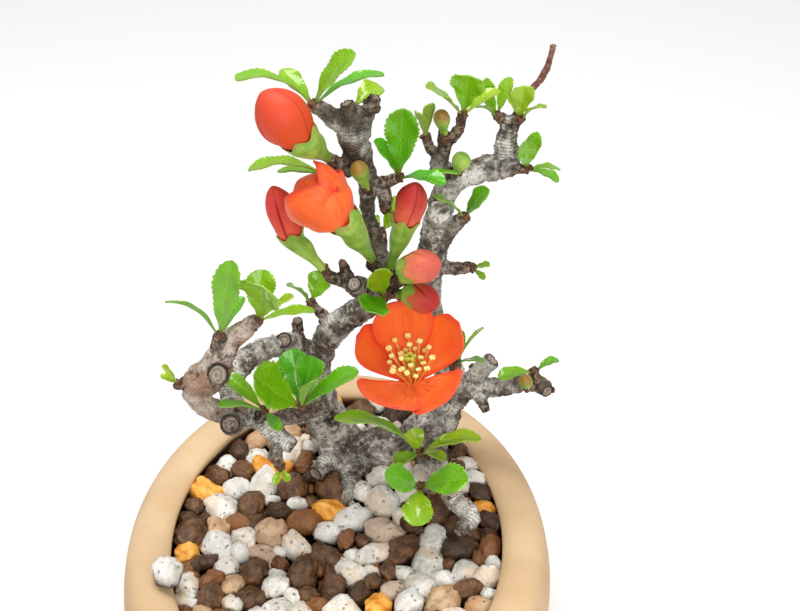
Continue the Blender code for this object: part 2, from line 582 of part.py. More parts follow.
def blade(rows, columns, shape):
    """A thin closed blade: a grid bent by shape(t, s), split into triangles, then thickened."""
    bm = bmesh.new()
    bmesh.ops.create_grid(bm, x_segments=columns, y_segments=rows, size=1)
    for vertex in bm.verts:
        vertex.co = shape(vertex.co.x, (vertex.co.y + 1) / 2)
    bmesh.ops.triangulate(bm, faces=bm.faces)
    bmesh.ops.recalc_face_normals(bm, faces=bm.faces)
    bmesh.ops.solidify(bm, geom=list(bm.faces), thickness=BLADE_THICKNESS)
    bmesh.ops.recalc_face_normals(bm, faces=bm.faces)
    return add_object("blade", bm)


def leaf(base, tip, width, facing, arch):
    """An obovate quince leaf with a toothed edge, folded a little along its midrib."""
    along = tip - base
    length = along.length
    along.normalize()
    turn = math.radians(facing)
    up = TO_VIEWER * math.cos(turn) + TO_SKY * math.sin(turn)
    up = (up - along * up.dot(along)).normalized()
    side = along.cross(up)
    teeth = 1 if length < 5 else 2 if length < 9 else 3
    rows = 2 * teeth
    columns = 1 if length < 15 else 2

    def shape(t, s):
        step = round(s * rows)
        half = 0.5 * width * math.sin(math.pi * min(0.985, 0.06 + 0.94 * s) ** 1.5) ** 0.75
        half = max(half, 0.5)
        if step % 2 and abs(t) > 0.5 and 1 < step < rows:
            half *= 0.84
        lift = 4 * arch * s * (1 - s) + 0.16 * abs(t) * half
        return base + along * (length * s) + up * lift + side * (t * half)

    return blade(rows, columns, shape)


def build_sprays():
    green = surface("leaf_green", (0.10, 0.36, 0.04), 0.35)
    for name, (limb, leaves) in SPRAYS.items():
        foot = limb_end(limb)
        pieces = [ball("foot", foot, FOOT_RADIUS, 1)]
        for tip, width, facing, arch in leaves:
            start = foot + (Vector(tip) - foot).normalized() * (0.6 * FOOT_RADIUS)
            pieces.append(leaf(start, Vector(tip), width, facing, arch))
        finish(join_all(pieces), name, green)


def axes_of(axis):
    """The axis and two directions square to it, the first as near the sky as it can be."""
    axis = axis.normalized()
    first = (TO_SKY - axis * TO_SKY.dot(axis)).normalized()
    return axis, first, axis.cross(first)


def ring(centre, axis, radius, sides, twist=0.0, relief=0.0, lobe=0.0, petals=5):
    """Points round an axis. The radius can step at petal edges, and every other point can rise."""
    axis, first, second = axes_of(axis)
    points = []
    for i in range(sides):
        angle = math.tau * i / sides + twist
        step = (i % (sides // petals)) * petals / sides
        reach = radius * (1 + relief * (step - 0.5))
        rise = lobe * (0.5 if i % 2 else -0.5)
        points.append(centre + axis * rise + (first * math.cos(angle) + second * math.sin(angle)) * reach)
    return points


def cup(name, foot, rim, axis, radius, lobe):
    """The green cup under a bloom: a stalk on its foot that widens to five lobes, hollow at the top."""
    stalk = rim - foot
    sides = CUP_SIDES
    outer = [ring(foot - stalk.normalized() * 0.9, stalk, 0.7, sides), ring(foot, stalk, 1.0, sides),
             ring(foot + stalk * 0.6, stalk + axis * stalk.length, 0.72 * radius, sides),
             ring(rim - axis * 1.2, axis, radius, sides),
             ring(rim + axis * (lobe * 0.4), axis, radius + 0.5, sides, lobe=lobe)]
    inner = [ring(rim + axis * (lobe * 0.4), axis, radius - 0.15, sides, lobe=lobe * 0.9),
             ring(rim - axis * CUP_DEPTH, axis, radius - CUP_WALL, sides)]
    return loft(name, outer + inner)


def cup_room(cup_radius):
    """Radius of what stands in a green cup, clear of its wall."""
    return cup_radius - CUP_WALL - 1.5 * GAP


def closed_petals(name, rim, tip, radius, inner):
    """Petals still rolled round each other: each overlaps the next along a twisted edge."""
    axis = (tip - rim).normalized()
    start = rim - axis * (CUP_DEPTH - GAP)
    length = (tip - start).length
    shape = [(0.0, inner / radius), (0.14, inner / radius + 0.12)] + BUD_PROFILE
    rings = [ring(start + axis * (length * s), axis, radius * r, BUD_SIDES, twist=BUD_TWIST * s,
                  relief=0.16 * r) for s, r in shape]
    return loft(name, rings)


def build_buds():
    red = surface("bud_red", (0.62, 0.05, 0.03), 0.45)
    green = surface("calyx_green", (0.20, 0.36, 0.06), 0.5)
    for name, (limb, rim, tip, radius) in BUDS.items():
        axis = (tip - rim).normalized()
        cup_radius = 0.5 * radius + 0.9
        finish(closed_petals(name, rim, tip, radius, cup_room(cup_radius)), f"{name}_petals", red, 40)
        finish(cup(name, limb_end(limb), rim, axis, cup_radius, BUD_LOBE), f"{name}_calyx", green, 50)
    for name, (limb, tip, radius) in GREEN_BUDS.items():
        foot = limb_end(limb)
        axis = (tip - foot).normalized()
        length = (tip - foot).length
        rings = [ring(foot + axis * (length * s), axis, radius * r, CUP_SIDES, twist=GREEN_BUD_TWIST * s,
                      relief=0.2 * r * s) for s, r in GREEN_BUD_PROFILE]
        finish(loft(name, rings), name, green, 50)


def petal(centre, axis, entry, hollow):
    """One cupped petal on a narrow claw, bent in an even curve from its claw's angle to its tip's."""
    axis, first, second = axes_of(axis)
    turn, length, width, begin, end, sharp = entry
    turn, begin, end = math.radians(turn), math.radians(begin), math.radians(end)
    out = first * math.cos(turn) + second * math.sin(turn)
    side = axis.cross(out)

    def shape(t, s):
        bend = begin + (end - begin) * s
        reach = 0.9 + length * (math.cos(begin) - math.cos(bend)) / (end - begin)
        height = length * (math.sin(bend) - math.sin(begin)) / (end - begin)
        half = 0.5 * width * math.sin(math.pi * min(0.96, 0.04 + 0.93 * s) ** CLAW_POWER) ** sharp
        half = max(half, BLADE_THICKNESS)
        inward = axis * math.sin(bend) - out * math.cos(bend)
        tilt = 0.35 * t * min(1.0, 3 * s)
        return (centre + out * reach + axis * height + side * (t * half)
                + inward * (hollow * t * t * half + tilt))

    return blade(PETAL_GRID, PETAL_GRID, shape)


def petal_seat(rim, axis, inner):
    heights = (GAP - CUP_DEPTH, SEAT_TOP)
    return loft("seat", [ring(rim + axis * height, axis, inner, CUP_SIDES) for height in heights])


def build_open_flower():
    limb, rim, axis, radius = OPEN_FLOWER
    axis = axis.normalized()
    orange = surface("petal_orange", (0.85, 0.10, 0.02), 0.5)
    green = surface("flower_calyx_green", (0.20, 0.36, 0.06), 0.5)
    pieces = [petal_seat(rim, axis, cup_room(radius))]
    for entry in OPEN_PETALS:
        pieces.append(petal(rim + axis * (SEAT_TOP - PETAL_SINK), axis, entry, OPEN_HOLLOW))
    finish(join_all(pieces), "open_flower_petals", orange)
    finish(cup("cup", limb_end(limb), rim, axis, radius, OPEN_LOBE), "open_flower_calyx", green, 50)
    build_stamens(rim + axis * (SEAT_TOP + 0.4 + GAP), axis)


def build_stamens(foot, axis):
    yellow = surface("stamen_yellow", (0.85, 0.62, 0.16), 0.6)
    top = foot + axis * STAMEN_DISC_HEIGHT
    pieces = [loft("stamens", [ring(end, axis, STAMEN_DISC_RADIUS, 8) for end in (foot, top)])]
    _, first, _ = axes_of(axis)
    axis, first, second = axes_of(axis + first * STAMEN_LEAN)
    ends = (foot + axis * 0.3, foot + axis * STYLE_LENGTH)
    pieces.append(loft("styles", [ring(end, axis, STYLE_RADIUS, 6, petals=3) for end in ends]))
    for i in range(STAMEN_COUNT):
        turn = 2.4 * i
        spread = 0.12 + 0.5 * math.sqrt(i / STAMEN_COUNT)
        way = (axis + (first * math.cos(turn) + second * math.sin(turn)) * spread).normalized()
        root = foot + (way - axis) * 1.5 + axis * 0.3
        length = STAMEN_LENGTH + 1.5 * math.cos(5.1 * i)
        shape = [(0, 0.5), (length, 0.45), (length + 0.5, 0.85), (length + 1.5, 0.5)]
        pieces.append(loft("stamen", [ring(root + way * s, way, r, 3, petals=3) for s, r in shape]))
    finish(join_all(pieces), "open_flower_stamens", yellow)


def build_half_flower():
    limb, rim, axis, radius = HALF_FLOWER
    axis = axis.normalized()
    orange = surface("half_petal_orange", (0.85, 0.12, 0.03), 0.5)
    green = surface("half_calyx_green", (0.22, 0.38, 0.07), 0.5)
    tip = rim + axis * HALF_HEART_LENGTH
    pieces = [closed_petals("half_flower", rim, tip, HALF_HEART_RADIUS, cup_room(radius))]
    for entry in HALF_PETALS:
        pieces.append(petal(rim + axis, axis, entry, HALF_HOLLOW))
    finish(join_all(pieces), "half_flower_petals", orange)
    finish(cup("cup", limb_end(limb), rim, axis, radius, HALF_LOBE), "half_flower_calyx", green, 50)


def main():
    start_scene()
    build_pot()
    build_drain_meshes()
    build_soil()
    build_rim_grain()
    build_wood()
    build_sprays()
    build_buds()
    build_open_flower()
    build_half_flower()


main()
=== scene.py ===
"""The looks of a flowering quince bonsai in an oval pot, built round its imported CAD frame.

The tables hold millimetres and the meshes are made in metres, +Z up. The origin is the centre of the
pot's foot, the plant's front is -Y, and every piece stays where its CAD node is.
"""
import math
import random

import bmesh
import bpy
import numpy as np
from mathutils import Matrix, Vector, noise


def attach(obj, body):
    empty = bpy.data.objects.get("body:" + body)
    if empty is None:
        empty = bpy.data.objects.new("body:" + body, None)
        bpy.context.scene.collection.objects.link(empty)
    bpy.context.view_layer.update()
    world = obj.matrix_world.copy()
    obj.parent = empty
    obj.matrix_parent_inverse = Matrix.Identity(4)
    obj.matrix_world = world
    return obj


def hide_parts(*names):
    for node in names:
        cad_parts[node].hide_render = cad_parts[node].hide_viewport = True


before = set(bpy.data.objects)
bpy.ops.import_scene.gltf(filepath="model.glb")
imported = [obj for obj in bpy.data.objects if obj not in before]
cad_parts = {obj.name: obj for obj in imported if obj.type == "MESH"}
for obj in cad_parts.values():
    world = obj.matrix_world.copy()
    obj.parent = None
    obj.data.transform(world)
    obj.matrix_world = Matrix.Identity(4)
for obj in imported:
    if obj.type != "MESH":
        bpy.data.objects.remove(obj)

MM = 0.001
ROOT = "root"

# Stage: a camera with the photograph's place and pitch, as a lens on a 36 mm sensor
CAMERA_PLACE = Vector((15.3, -263.3, 302.8))
CAMERA_PITCH = 36.0
CAMERA_LENS = 67.5
SENSOR_WIDTH = 36.0
# Soft lights that face a target: name, place, size and watts
SOFTBOXES = [("overhead", (-40, 60, 700), 380, 2.5), ("front_fill", (150, -600, 450), 450, 2.0)]
LIGHT_TARGET = Vector((0, 10, 70))
WORLD_STRENGTH = 0.5
FLOOR_REACH = 3000

# Pot: rings of (offset out from the opening's ellipse, height)
OPENING_X = 40.0
OPENING_Y = 52.7
POT_SIDES = 144
FLOOR_TOP = 9.0
POT_WALL = [(-4, 0), (-3.5, 3), (4, 9), (10.3, 19), (12.2, 30), (11.7, 37), (10.2, 41.6), (7.6, 43.6),
            (4.2, 44), (1.4, 43.3), (0.2, 41.4), (2.6, 37), (5, 31), (5, 21), (0, 12), (-4, FLOOR_TOP)]
WALL_STEPS = 5
FOOT_RECESS = [(-9, 2.5), (-9, 0.3), (-8.7, 0)]
DRAIN_RADIUS = 6.0
DRAIN_SIDES = 40
DRAIN_Y = 22.0
NOTCH_WIDTH = 10.0
NOTCH_HEIGHT = 2.0

# Soil: a dark bed, loose grains settled beside each other, and grit between them. The gap parts the bed
# from the pot, and a bud from its cup
GAP = 0.35
BED_TOP = 36.6
BED_WALL = [(-4, FLOOR_TOP + GAP), (0, 12 + GAP), (5, 21), (5, 31), (2.6, BED_TOP - 1.5)]
BED_RINGS = (0.92, 0.75, 0.55, 0.35, 0.15)
BED_DEPTH = 3.4
GRAIN_LEVEL = BED_TOP + 1.2
GRIT_LEVEL = -0.6
# Radii of grains, and how many there are
LARGE_GRAIN = (3.1, 4.8)
SMALL_GRAIN = (1.9, 3.2)
SMALL_GRAINS = 100
GRAINS = 188
# How far above their level grains lie, and how they are turned, stretched and cut into facets
GRAIN_RISE = (-1.2, 0.6)
GRAIN_TURN = ((-0.5, 0.5), (-0.5, 0.5), (0, math.tau))
GRAIN_STRETCH = ((1.05, 1.5), (0.8, 0.98), (0.78, 0.95))
GRAIN_SHIFT = ((0, 90), (0, 90), (0, 90))
# How the grains settle: steps, push, and the room that grains and roots need, as a share of their radii
SETTLE_STEPS = 160
PUSH = 0.3
GRAIN_ROOM = 1.03
POST_ROOM = 0.8
# The roots are what lies below this height, and no grain is its own neighbour, since it is far from itself
ROOTS_TOP = 47
FAR_AWAY = 99
# The mound round the tree's foot
TREE_FOOT = Vector((11, 30, 44))
MOUND_HEIGHT = 5.0
MOUND_REACH = 34.0
# The loose grain on the rim: its place and radius
RIM_GRAIN = (Vector((-39, -17, 47)), 3.9)
# Spots where the photograph shows a grain of each kind: the first grains start there
KIND_SPOTS = {
    "amber": [(11, -11), (-4, 15), (-33, 24), (35, 14), (-14, 38), (-36, 6), (16, -22)],
    "white": [(-35, -4), (-30, 3), (-9, 5), (-11, -7), (-27, 32), (4, 5), (23, 1), (30, -4), (37, -4),
              (25, -10), (-18, 25), (-27, 14), (-18, -18), (17, -20), (28, -17), (3, -12), (-20, -15)],
    "tan": [(-27, -9), (17, -6), (35, -19), (-17, 6), (-31, 10)],
    "brown": [(12, 5), (-19, 0), (-21, -10), (-3, -7), (4, -3), (25, -18), (38, 4), (-38, 14), (-23, 17),
              (-12, 15), (28, -22), (-32, -14), (-8, -20), (-1, 6), (33, 6)],
}
# The shares of the kinds among the other grains
KIND_SHARES = [("white", 0.42), ("brown", 0.48), ("tan", 0.08), ("amber", 0.02)]
# How finely grains are cut into facets, and how deep their dents are
GRAIN_SIZES = {"Detail": 4, "Facets": 0.9, "Dents": 0.8 * MM}
GRAIN_ROUGHNESS = {"white": 0.35, "brown": 0.75, "tan": 0.35, "amber": 0.35}
RIM_ROUGHNESS = 0.6
FACET_DEPTH = 0.92
FACET_EDGE = 0.76
FACET_SOFTNESS = 0.6
# Grit: kind, density and seed, and what all of it shares
GRIT = [("white", 12000.0, 3), ("brown", 90000.0, 4), ("tan", 5000.0, 5)]
GRIT_SIZES = {"Distance": 1.9 * MM, "Smallest": 0.7 * MM, "Largest": 1.7 * MM, "Flatness": 0.8,
              "Dents": 1.6 * MM, "Sink": 0.8 * MM, "Detail": 2}

# Wood: a skin of small cubes that is smoothed
WOOD_VOXEL = 0.42
# Each limb's rings are counted on from a multiple of this length, so that no two limbs have the same
FIRST_WAY = 13.0
# Over how many millimetres bark turns brown, and how many points are matched with the limbs at a time
BROWN_FADE = 6
CHUNK = 4000
# Lumps of the bark: depth and grain of each size
BARK_LUMPS = [(0.3, 0.2), (0.34, 0.5), (0.3, 1.1), (0.16, 2.0)]
# Each limb is a route of (x, y, z, radius) points
LIMBS = {
    "root_plug": [(11, 30, 45, 8), (11, 30, 37, 8.5), (11, 30, 29, 6), (11, 30, 23, 3)],
    "root_crown": [(-4, 31, 42, 4.5), (3, 29, 42, 7), (11, 29, 42, 8), (19, 31, 42, 7), (26, 33, 43, 5)],
    "front_root": [(5, 26, 43, 4.5), (3, 20, 43, 3.2), (2, 15, 42, 2.2), (1, 11, 41, 1.4)],
    "root_stub": [(2, 25, 44, 3.6), (-3, 22, 46, 2.8), (-6, 18, 46, 2.2)],
    "crown_nub": [(7, 24, 45, 2.2), (7, 20, 44, 1.5)],
    "left_trunk": [(2, 30, 41, 7), (-2, 30, 50, 6), (-5, 29, 61, 4.4), (-5, 28, 73, 3.2), (-1, 26, 85, 3.3),
                   (6, 24, 93, 3.1), (11, 23, 100, 2.6), (11, 22, 108, 2), (10, 22, 114, 1.8),
                   (8, 22, 121, 1.7), (8, 21, 129, 2), (7, 20, 136, 2.6), (5, 20, 142, 3.4),
                   (5, 20, 147, 2.5), (4, 20, 150, 1.6)],
    "right_trunk": [(20, 31, 44, 7), (25, 31, 53, 5.5), (27, 31, 61, 4.2), (27, 29, 77, 3), (23, 27, 90, 2.8),
                    (22, 26, 101, 3.2), (23, 26, 109, 3.5), (24, 27, 118, 3), (27, 28, 125, 2.7),
                    (34, 30, 128, 2.9), (39, 31, 129, 3.2), (39, 32, 134, 2.5), (40, 33, 139, 2)],
    "top_right_twig": [(41, 33, 139, 1.2), (43, 34, 144, 0.9), (47, 35, 149, 0.8), (49, 36, 156, 0.7)],
    "right_branch": [(27, 31, 59, 4.6), (33, 30, 65, 3.4), (38, 29, 65, 2.6), (43, 27, 67, 2.1),
                     (48, 24, 71, 1.8), (50, 21, 72, 2.3), (51, 19, 72, 1.7)],
    "right_stub": [(33, 30, 65, 2.8), (35, 30, 69, 2.4), (38, 30, 73, 2.1)],
    "front_branch": [(23, 28, 52, 4.4), (24, 16, 55, 2.9), (26, 4, 55, 2.2), (29, -2, 55, 2.3),
                     (32, -6, 54, 2.4), (29, -10, 53, 1.6)],
    "left_arm": [(-5, 28, 72, 3.2), (-8, 24, 81, 2.8), (-12, 18, 87, 2.7), (-17, 13, 89, 2.7),
                 (-21, 7, 90, 2.7), (-23, 2, 87, 2.6), (-22, -2, 84, 2.6), (-16, -4, 82, 2.3),
                 (-13, -5, 79, 2.3), (-9, -7, 77, 1.8)],
    "knob": [(-22, -4, 85, 2.6), (-26, -6, 87, 2.4), (-29, -7, 91, 2.7), (-29, -7, 96, 3.4),
             (-26, -7, 98, 4.1), (-23, -7, 104, 3), (-20, -6, 108, 2.4), (-15, -6, 112, 1.5)],
    "arm_cut": [(-22, -3, 83, 2.6), (-22, -8, 85, 2.7), (-22, -12, 88, 2.4)],
    "arm_twig": [(-15, -4, 81, 1.9), (-11, -4, 83, 1.8), (-7, -4, 84, 1.8), (-1, -3, 86, 1.6)],
    "arm_twig_spur": [(-7, -4, 84, 1.6), (-7, -5, 87, 1.2)],
    "arm_spur": [(-12, -6, 78, 1.6), (-13, -8, 76, 1.6), (-12, -9, 73, 1.3)],
    "arm_low_spur": [(-17, -4, 82, 1.6), (-15, -6, 87, 1.2)],
    "arm_upright": [(-9, 24, 81, 2), (-9, 23, 86, 1.4), (-9, 22, 91, 1.3)],
    "arm_scar": [(-11, 20, 84, 2.4), (-12, 17, 89, 2.2)],
    "knob_bud_seat": [(-29, -7, 96, 2), (-33, -8, 96, 1.2)],
    "left_spur": [(-24, -8, 106, 1.6), (-23, -9, 110, 1.4)],
    "junction_cut": [(9, 22, 99, 2.8), (7, 17, 104, 2.4), (5, 13, 108, 2)],
    "junction_spur": [(6, 20, 101, 2), (3, 18, 105, 1.6), (0, 17, 107, 1.4), (-2, 16, 110, 1.2)],
    "junction_nub": [(4, 18, 105, 1.5), (3, 18, 108, 1.2), (2, 18, 111, 1)],
    "flower_spur": [(11, 22, 106, 1.8), (9, 19, 109, 1.4), (9, 17, 112, 1.2)],
    "bud_spur": [(11, 22, 103, 2), (13, 19, 106, 1.7), (13, 18, 109, 1.4)],
    "low_bud_spur": [(12, 22, 101, 1.9), (14, 18, 102, 1.4), (15, 16, 103, 1.2)],
    "pink_bud_spur": [(13, 20, 104, 1.5), (16, 13, 109, 1.2)],
    "pair_spur": [(11, 22, 101, 1.8), (12, 18, 102, 1.3), (12, 14, 104, 1.1)],
    "back_spur": [(11, 22, 109, 1.8), (11, 26, 111, 1.4), (11, 28, 112, 1.2)],
    "back_twig": [(-2, 26, 88, 1.8), (-4, 27, 90, 1.3), (-6, 28, 92, 1.1)],
    "top_left_stub": [(5, 20, 145, 2.6), (2, 20, 146, 2.2), (-1, 19, 149, 1.8), (-3, 18, 151, 1.5)],
    "top_right_stub": [(7, 21, 142, 2), (8, 21, 146, 1.7), (10, 21, 151, 1.4)],
    "crown_back_spur": [(5, 20, 146, 1.8), (5, 24, 147, 1.2)],
    "bud_a_spur": [(6, 20, 134, 1.9), (3, 18, 136, 1.6), (0, 16, 139, 1.4)],
    "bud_side_spur": [(6, 20, 134, 1.6), (2, 21, 133, 1.3), (-1, 21, 132, 1.1)],
    "bud_g_spur": [(8, 21, 129, 1.8), (8, 17, 131, 1.2)],
    "upper_spur": [(8, 21, 128, 2.2), (11, 20, 130, 1.6), (15, 18, 133, 1.3)],
    "upper_nub": [(11, 20, 130, 1.7), (12, 19, 127, 1.6), (12, 18, 125, 1.2)],
    "right_fork": [(28, 28, 126, 2.4), (24, 27, 131, 2.2), (25, 26, 135, 1.6), (25, 25, 140, 1.3)],
    "fork_left": [(24, 27, 133, 1.4), (22, 27, 135, 1.2), (21, 27, 138, 1.1)],
    "fork_right": [(25, 26, 136, 1.4), (28, 26, 140, 1.2), (29, 26, 144, 1.1)],
    "bud_i_spur": [(26, 27, 128, 1.6), (28, 24, 131, 1.1)],
    "twig_left": [(40, 33, 138, 1.7), (37, 33, 140, 1.2)],
    "twig_right": [(40, 33, 137, 1.8), (42, 30, 141, 1.1)],
    "elbow_knob": [(39, 31, 129, 3), (40, 28, 129, 2.4)],
    "elbow_tip": [(40, 30, 128, 1.6), (44, 30, 128, 1.1)],
    "mid_stub": [(24, 26, 111, 2.4), (27, 25, 115, 1.9), (30, 24, 119, 1.5)],
    "mid_cut": [(24, 26, 118, 2.9), (24, 21, 122, 2.5)],
    "side_stub": [(23, 26, 105, 2.4), (27, 25, 104, 1.7), (32, 24, 105, 1.4)],
    "open_flower_spur": [(27, 30, 59, 2.4), (23, 22, 66, 1.8), (19, 13, 74, 1.4)],
    "right_leaf_spur": [(27, 30, 65, 2.2), (29, 27, 71, 1.5), (29, 25, 76, 1.2)],
    "low_leaf_spur": [(25, 20, 53, 2.2), (22, 13, 58, 1.5), (20, 9, 61, 1.2)],
    "front_leaf_spur": [(26, 5, 54, 1.7), (22, 1, 57, 1.3), (20, -3, 61, 1.1)],
    "right_nub": [(35, 28, 64, 2), (37, 26, 60, 1.3)],
    "end_spur": [(50, 21, 72, 1.5), (48, 23, 75, 1.1)],
    "end_bud_spur": [(49, 21, 72, 1.5), (46, 18, 74, 1.1)],
}
# Limbs with young, pinkish brown bark
WARM_LIMBS = ["knob", "left_spur", "arm_low_spur"]
# Limbs whose thick bark is brown above a height
BROWN_ABOVE = {"left_trunk": 106, "top_left_stub": 0, "top_right_stub": 0, "mid_stub": 0, "elbow_knob": 0,
               "right_fork": 0, "arm_twig": 0, "arm_twig_spur": 0, "arm_low_spur": 0, "arm_spur": 0,
               "right_branch": 61, "right_stub": 60}
# Limbs that end in a pruning cut, and how pale its heart is; a healed scar has a route of its own
CUTS = {"arm_cut": 0.1, "junction_cut": 1, "arm_scar": 0.5, "arm_twig": 0.4, "front_branch": 0.3,
        "left_trunk": 0.6, "top_right_stub": 0.2, "right_branch": 0.4, "right_stub": 0.7, "root_stub": 0.4,
        "crown_nub": 0.4, "left_arm": 0.3, "right_nub": 0.3, "upper_nub": 0.4, "arm_upright": 0.3}
KNOB_SCAR = ([(-26, -7, 98, 4.1), (-24.2, -9.8, 100.1, 2.8)], 0.8)
# How far out from a cut's middle its heart, its collar and its face go, as a share of the limb's radius,
# and the reach of points that are off every face
CUT_HEART = 0.62
CUT_COLLAR = 0.95
CUT_FACE = 1.05
OFF_FACE = 2.0
# Bark scales: how they are strewn
SCALE_SIZES = {"Distance": 2.0 * MM, "Density": 70000.0, "Smallest": 0.35 * MM, "Largest": 0.85 * MM,
               "Flatness": 0.6, "Dents": 0.9 * MM, "Sink": 0.1 * MM, "Detail": 3, "Seed": 5}

# Leaf sprays: the limb that carries it and how yellow its leaves are, then for each leaf its tip, width,
# turn of its face from the viewer to the sky in degrees, and arch
SPRAYS = {
    "leaves_crown_left": ("top_left_stub", 0.4, [
        ((-19, 16, 158), 5, 60, 3), ((-10, 24, 156), 4.4, 40, 0.8), ((6, 16, 164), 6.4, 35, 1.1),
        ((12, 20, 157), 4.8, 60, 1.7)]),
    "leaves_crown_back": ("crown_back_spur", 0.6, [((11, 30, 149), 5.6, 30, 1.1)]),
    "leaves_bud_side": ("bud_side_spur", 0.5, [
        ((-18, 20, 133.6), 5.4, 60, 2.4), ((-12, 24, 131), 2.8, 60, 0.6)]),
    "leaves_mid_glossy": ("upper_spur", 0.1, [
        ((16, 12, 153), 7.8, 10, -0.7), ((10, 13, 145), 4.3, 30, 0.7), ((25, 12, 135), 4.8, 50, 1.3),
        ((28, 18, 134), 3, 70, 0.7)]),
    "leaves_fork_left": ("fork_left", 0.7, [((19, 22, 147), 3, 40, 0.4), ((22, 24, 148), 3, 50, 0.4)]),
    "leaves_fork_right": ("fork_right", 0.8, [
        ((30, 23, 155), 8, 20, -0.4), ((21, 20, 154), 5.4, 45, 0.7), ((37, 28, 149), 3.9, 55, 0.7)]),
    "leaves_tip_left": ("twig_left", 0.6, [
        ((33, 31, 149), 5.4, 25, 0.4), ((40, 36, 148), 3.6, 50, 0.7), ((32, 28, 145), 2.6, 70, 0.7)]),
    "leaves_tip_right": ("twig_right", 0.8, [
        ((42, 26, 151), 5.3, 20, 0.4), ((39, 30, 147), 3, 40, 0.4), ((47, 26, 146), 3.1, 65, 0.9)]),
    "leaves_elbow": ("elbow_tip", 0.6, [
        ((43, 25, 138), 4.5, 10, 0.5), ((46, 31, 137), 3.6, 20, 0.5), ((51, 26, 127), 3.6, 60, 0.9),
        ((52, 33, 126), 3.2, 60, 0.7)]),
    "leaves_mid_right": ("mid_stub", 0.3, [
        ((23, 18, 128), 3.2, 45, 0.7), ((35, 21, 128), 5, 30, 0.7), ((33, 28, 120), 3, 60, 0.5)]),
    "leaves_back": ("back_spur", 0.5, [((16, 34, 118), 5.1, 20, 0.7), ((8, 33, 113), 3.7, 35, 0.7)]),
    "leaves_knob_side": ("left_spur", 0.45, [
        ((-33, -13, 122), 3, 85, 2.1), ((-19, -10, 130), 6.6, 25, 0.6), ((-18, -3, 116), 3, 60, 0.6)]),
    "leaves_knob_end": ("knob", 0.75, [
        ((-13, -12, 125), 10.5, 15, -0.6), ((-14, 0, 121), 6.8, 20, 0), ((-7, -10, 121), 3.8, 50, 0.6),
        ((-3, -4, 113), 3.8, 60, 0.9)]),
    "leaves_back_left": ("back_twig", 0.5, [((-3, 31, 99), 6.2, 20, 0), ((-11, 24, 100), 3.8, 60, 0.7)]),
    "leaves_arm_glossy": ("arm_twig_spur", 0.3, [
        ((-16, -11, 101), 11, 25, -0.9), ((-9, 2, 98), 7.5, 25, 0), ((-4, -2, 99), 7, 15, 0),
        ((-3, -10, 99), 4.4, 50, 0.7), ((6, -3, 96), 5.4, 45, 1.1)]),
    "leaves_arm_low": ("arm_low_spur", 0.4, [
        ((-24, -1, 93), 4.4, 45, 0.9), ((-24, -13, 94), 3.5, 60, 0.9), ((-11, -14, 88), 2.8, 40, 0.4)]),
    "leaves_centre": ("pair_spur", 0.35, [((10, 8, 115), 6.6, 10, -0.5), ((8, 3, 108), 8, 15, -0.5)]),
    "leaves_flower_side": ("right_leaf_spur", 0.4, [
        ((35, 22, 89), 3.4, 55, 0.7), ((35, 18, 82), 2.9, 60, 0.7), ((30, 22, 88), 3.4, 30, 0.5)]),
    "leaves_branch_end": ("end_spur", 0.5, [((39, 19, 76), 4.4, 50, 1), ((54, 25, 77), 3.2, 60, 0.8)]),
    "leaves_low_fan": ("low_leaf_spur", 0.85, [
        ((0, 4, 76), 6, 60, 3.2), ((18, 11, 67), 5.3, 25, 0.5), ((35, 12, 63), 5.8, 60, 1.7),
        ((26, 3, 64), 3.4, 60, 1), ((14, 3, 63), 3.9, 40, 0.7)]),
    "leaves_low_front": ("front_leaf_spur", 0.4, [
        ((12, -8, 69), 7.4, 25, 0.7), ((31, -7, 67), 8.4, 30, 0.9), ((19, -13, 58), 7.8, 20, 0.9)]),
    "sprout_knob": ("knob_bud_seat", 0.9, [((-36, -9, 102), 2.4, 50, 0.2), ((-37, -7, 98), 2, 50, 0.2)]),
    "sprout_arm": ("arm_spur", 0.9, [((-13, -12, 70), 2, 50, 0.2), ((-10, -11, 70), 2, 50, 0.2)]),
    "sprout_nub": ("upper_nub", 0.9, [((13, 15, 122), 2.2, 50, 0.2), ((15, 17, 123), 2, 50, 0.2)]),
    "sprout_side": ("side_stub", 0.9, [((36, 22, 107), 2.6, 50, 0.3), ((35, 22, 103), 2, 50, 0.3)]),
}
TO_VIEWER = Vector((0, -0.81, 0.59))
TO_SKY = Vector((0, 0.59, 0.81))
FOOT_RADIUS = 1.2
LEAF_THICKNESS = 0.35
# How deep a leaf's teeth, fold and ripples are, as shares of its half width
LEAF_SIZES = {"Columns": 9, "Tooth": 0.15, "Fold": 0.28, "Ripple": 0.11}
# Sprays whose leaves are all shorter than a length have few teeth
SHORT_LEAF = 8
FEW_TEETH = 7
MANY_TEETH = 14
# How red, green and blue light spreads within a leaf and within a petal
LEAF_GLOW = (0.35, 1.0, 0.15)
PETAL_GLOW = (1.0, 0.35, 0.1)
# The share of a leaf's half width along its length
LEAF_OUTLINE = [(0, 0.1), (0.1, 0.17), (0.28, 0.5), (0.5, 0.86), (0.68, 1), (0.83, 0.92), (0.94, 0.62),
                (1, 0.12)]
WEDGE_OUTLINE = [(0, 0.1), (0.12, 0.16), (0.3, 0.38), (0.55, 0.72), (0.75, 0.95), (0.87, 1), (0.96, 0.86),
                 (1, 0.5)]
# The spray and the number of each leaf that is a wedge with a broad, toothed end
WEDGES = [("leaves_fork_right", 0), ("leaves_knob_end", 0), ("leaves_tip_right", 0), ("leaves_arm_glossy", 2),
          ("leaves_crown_left", 0), ("leaves_tip_left", 0)]

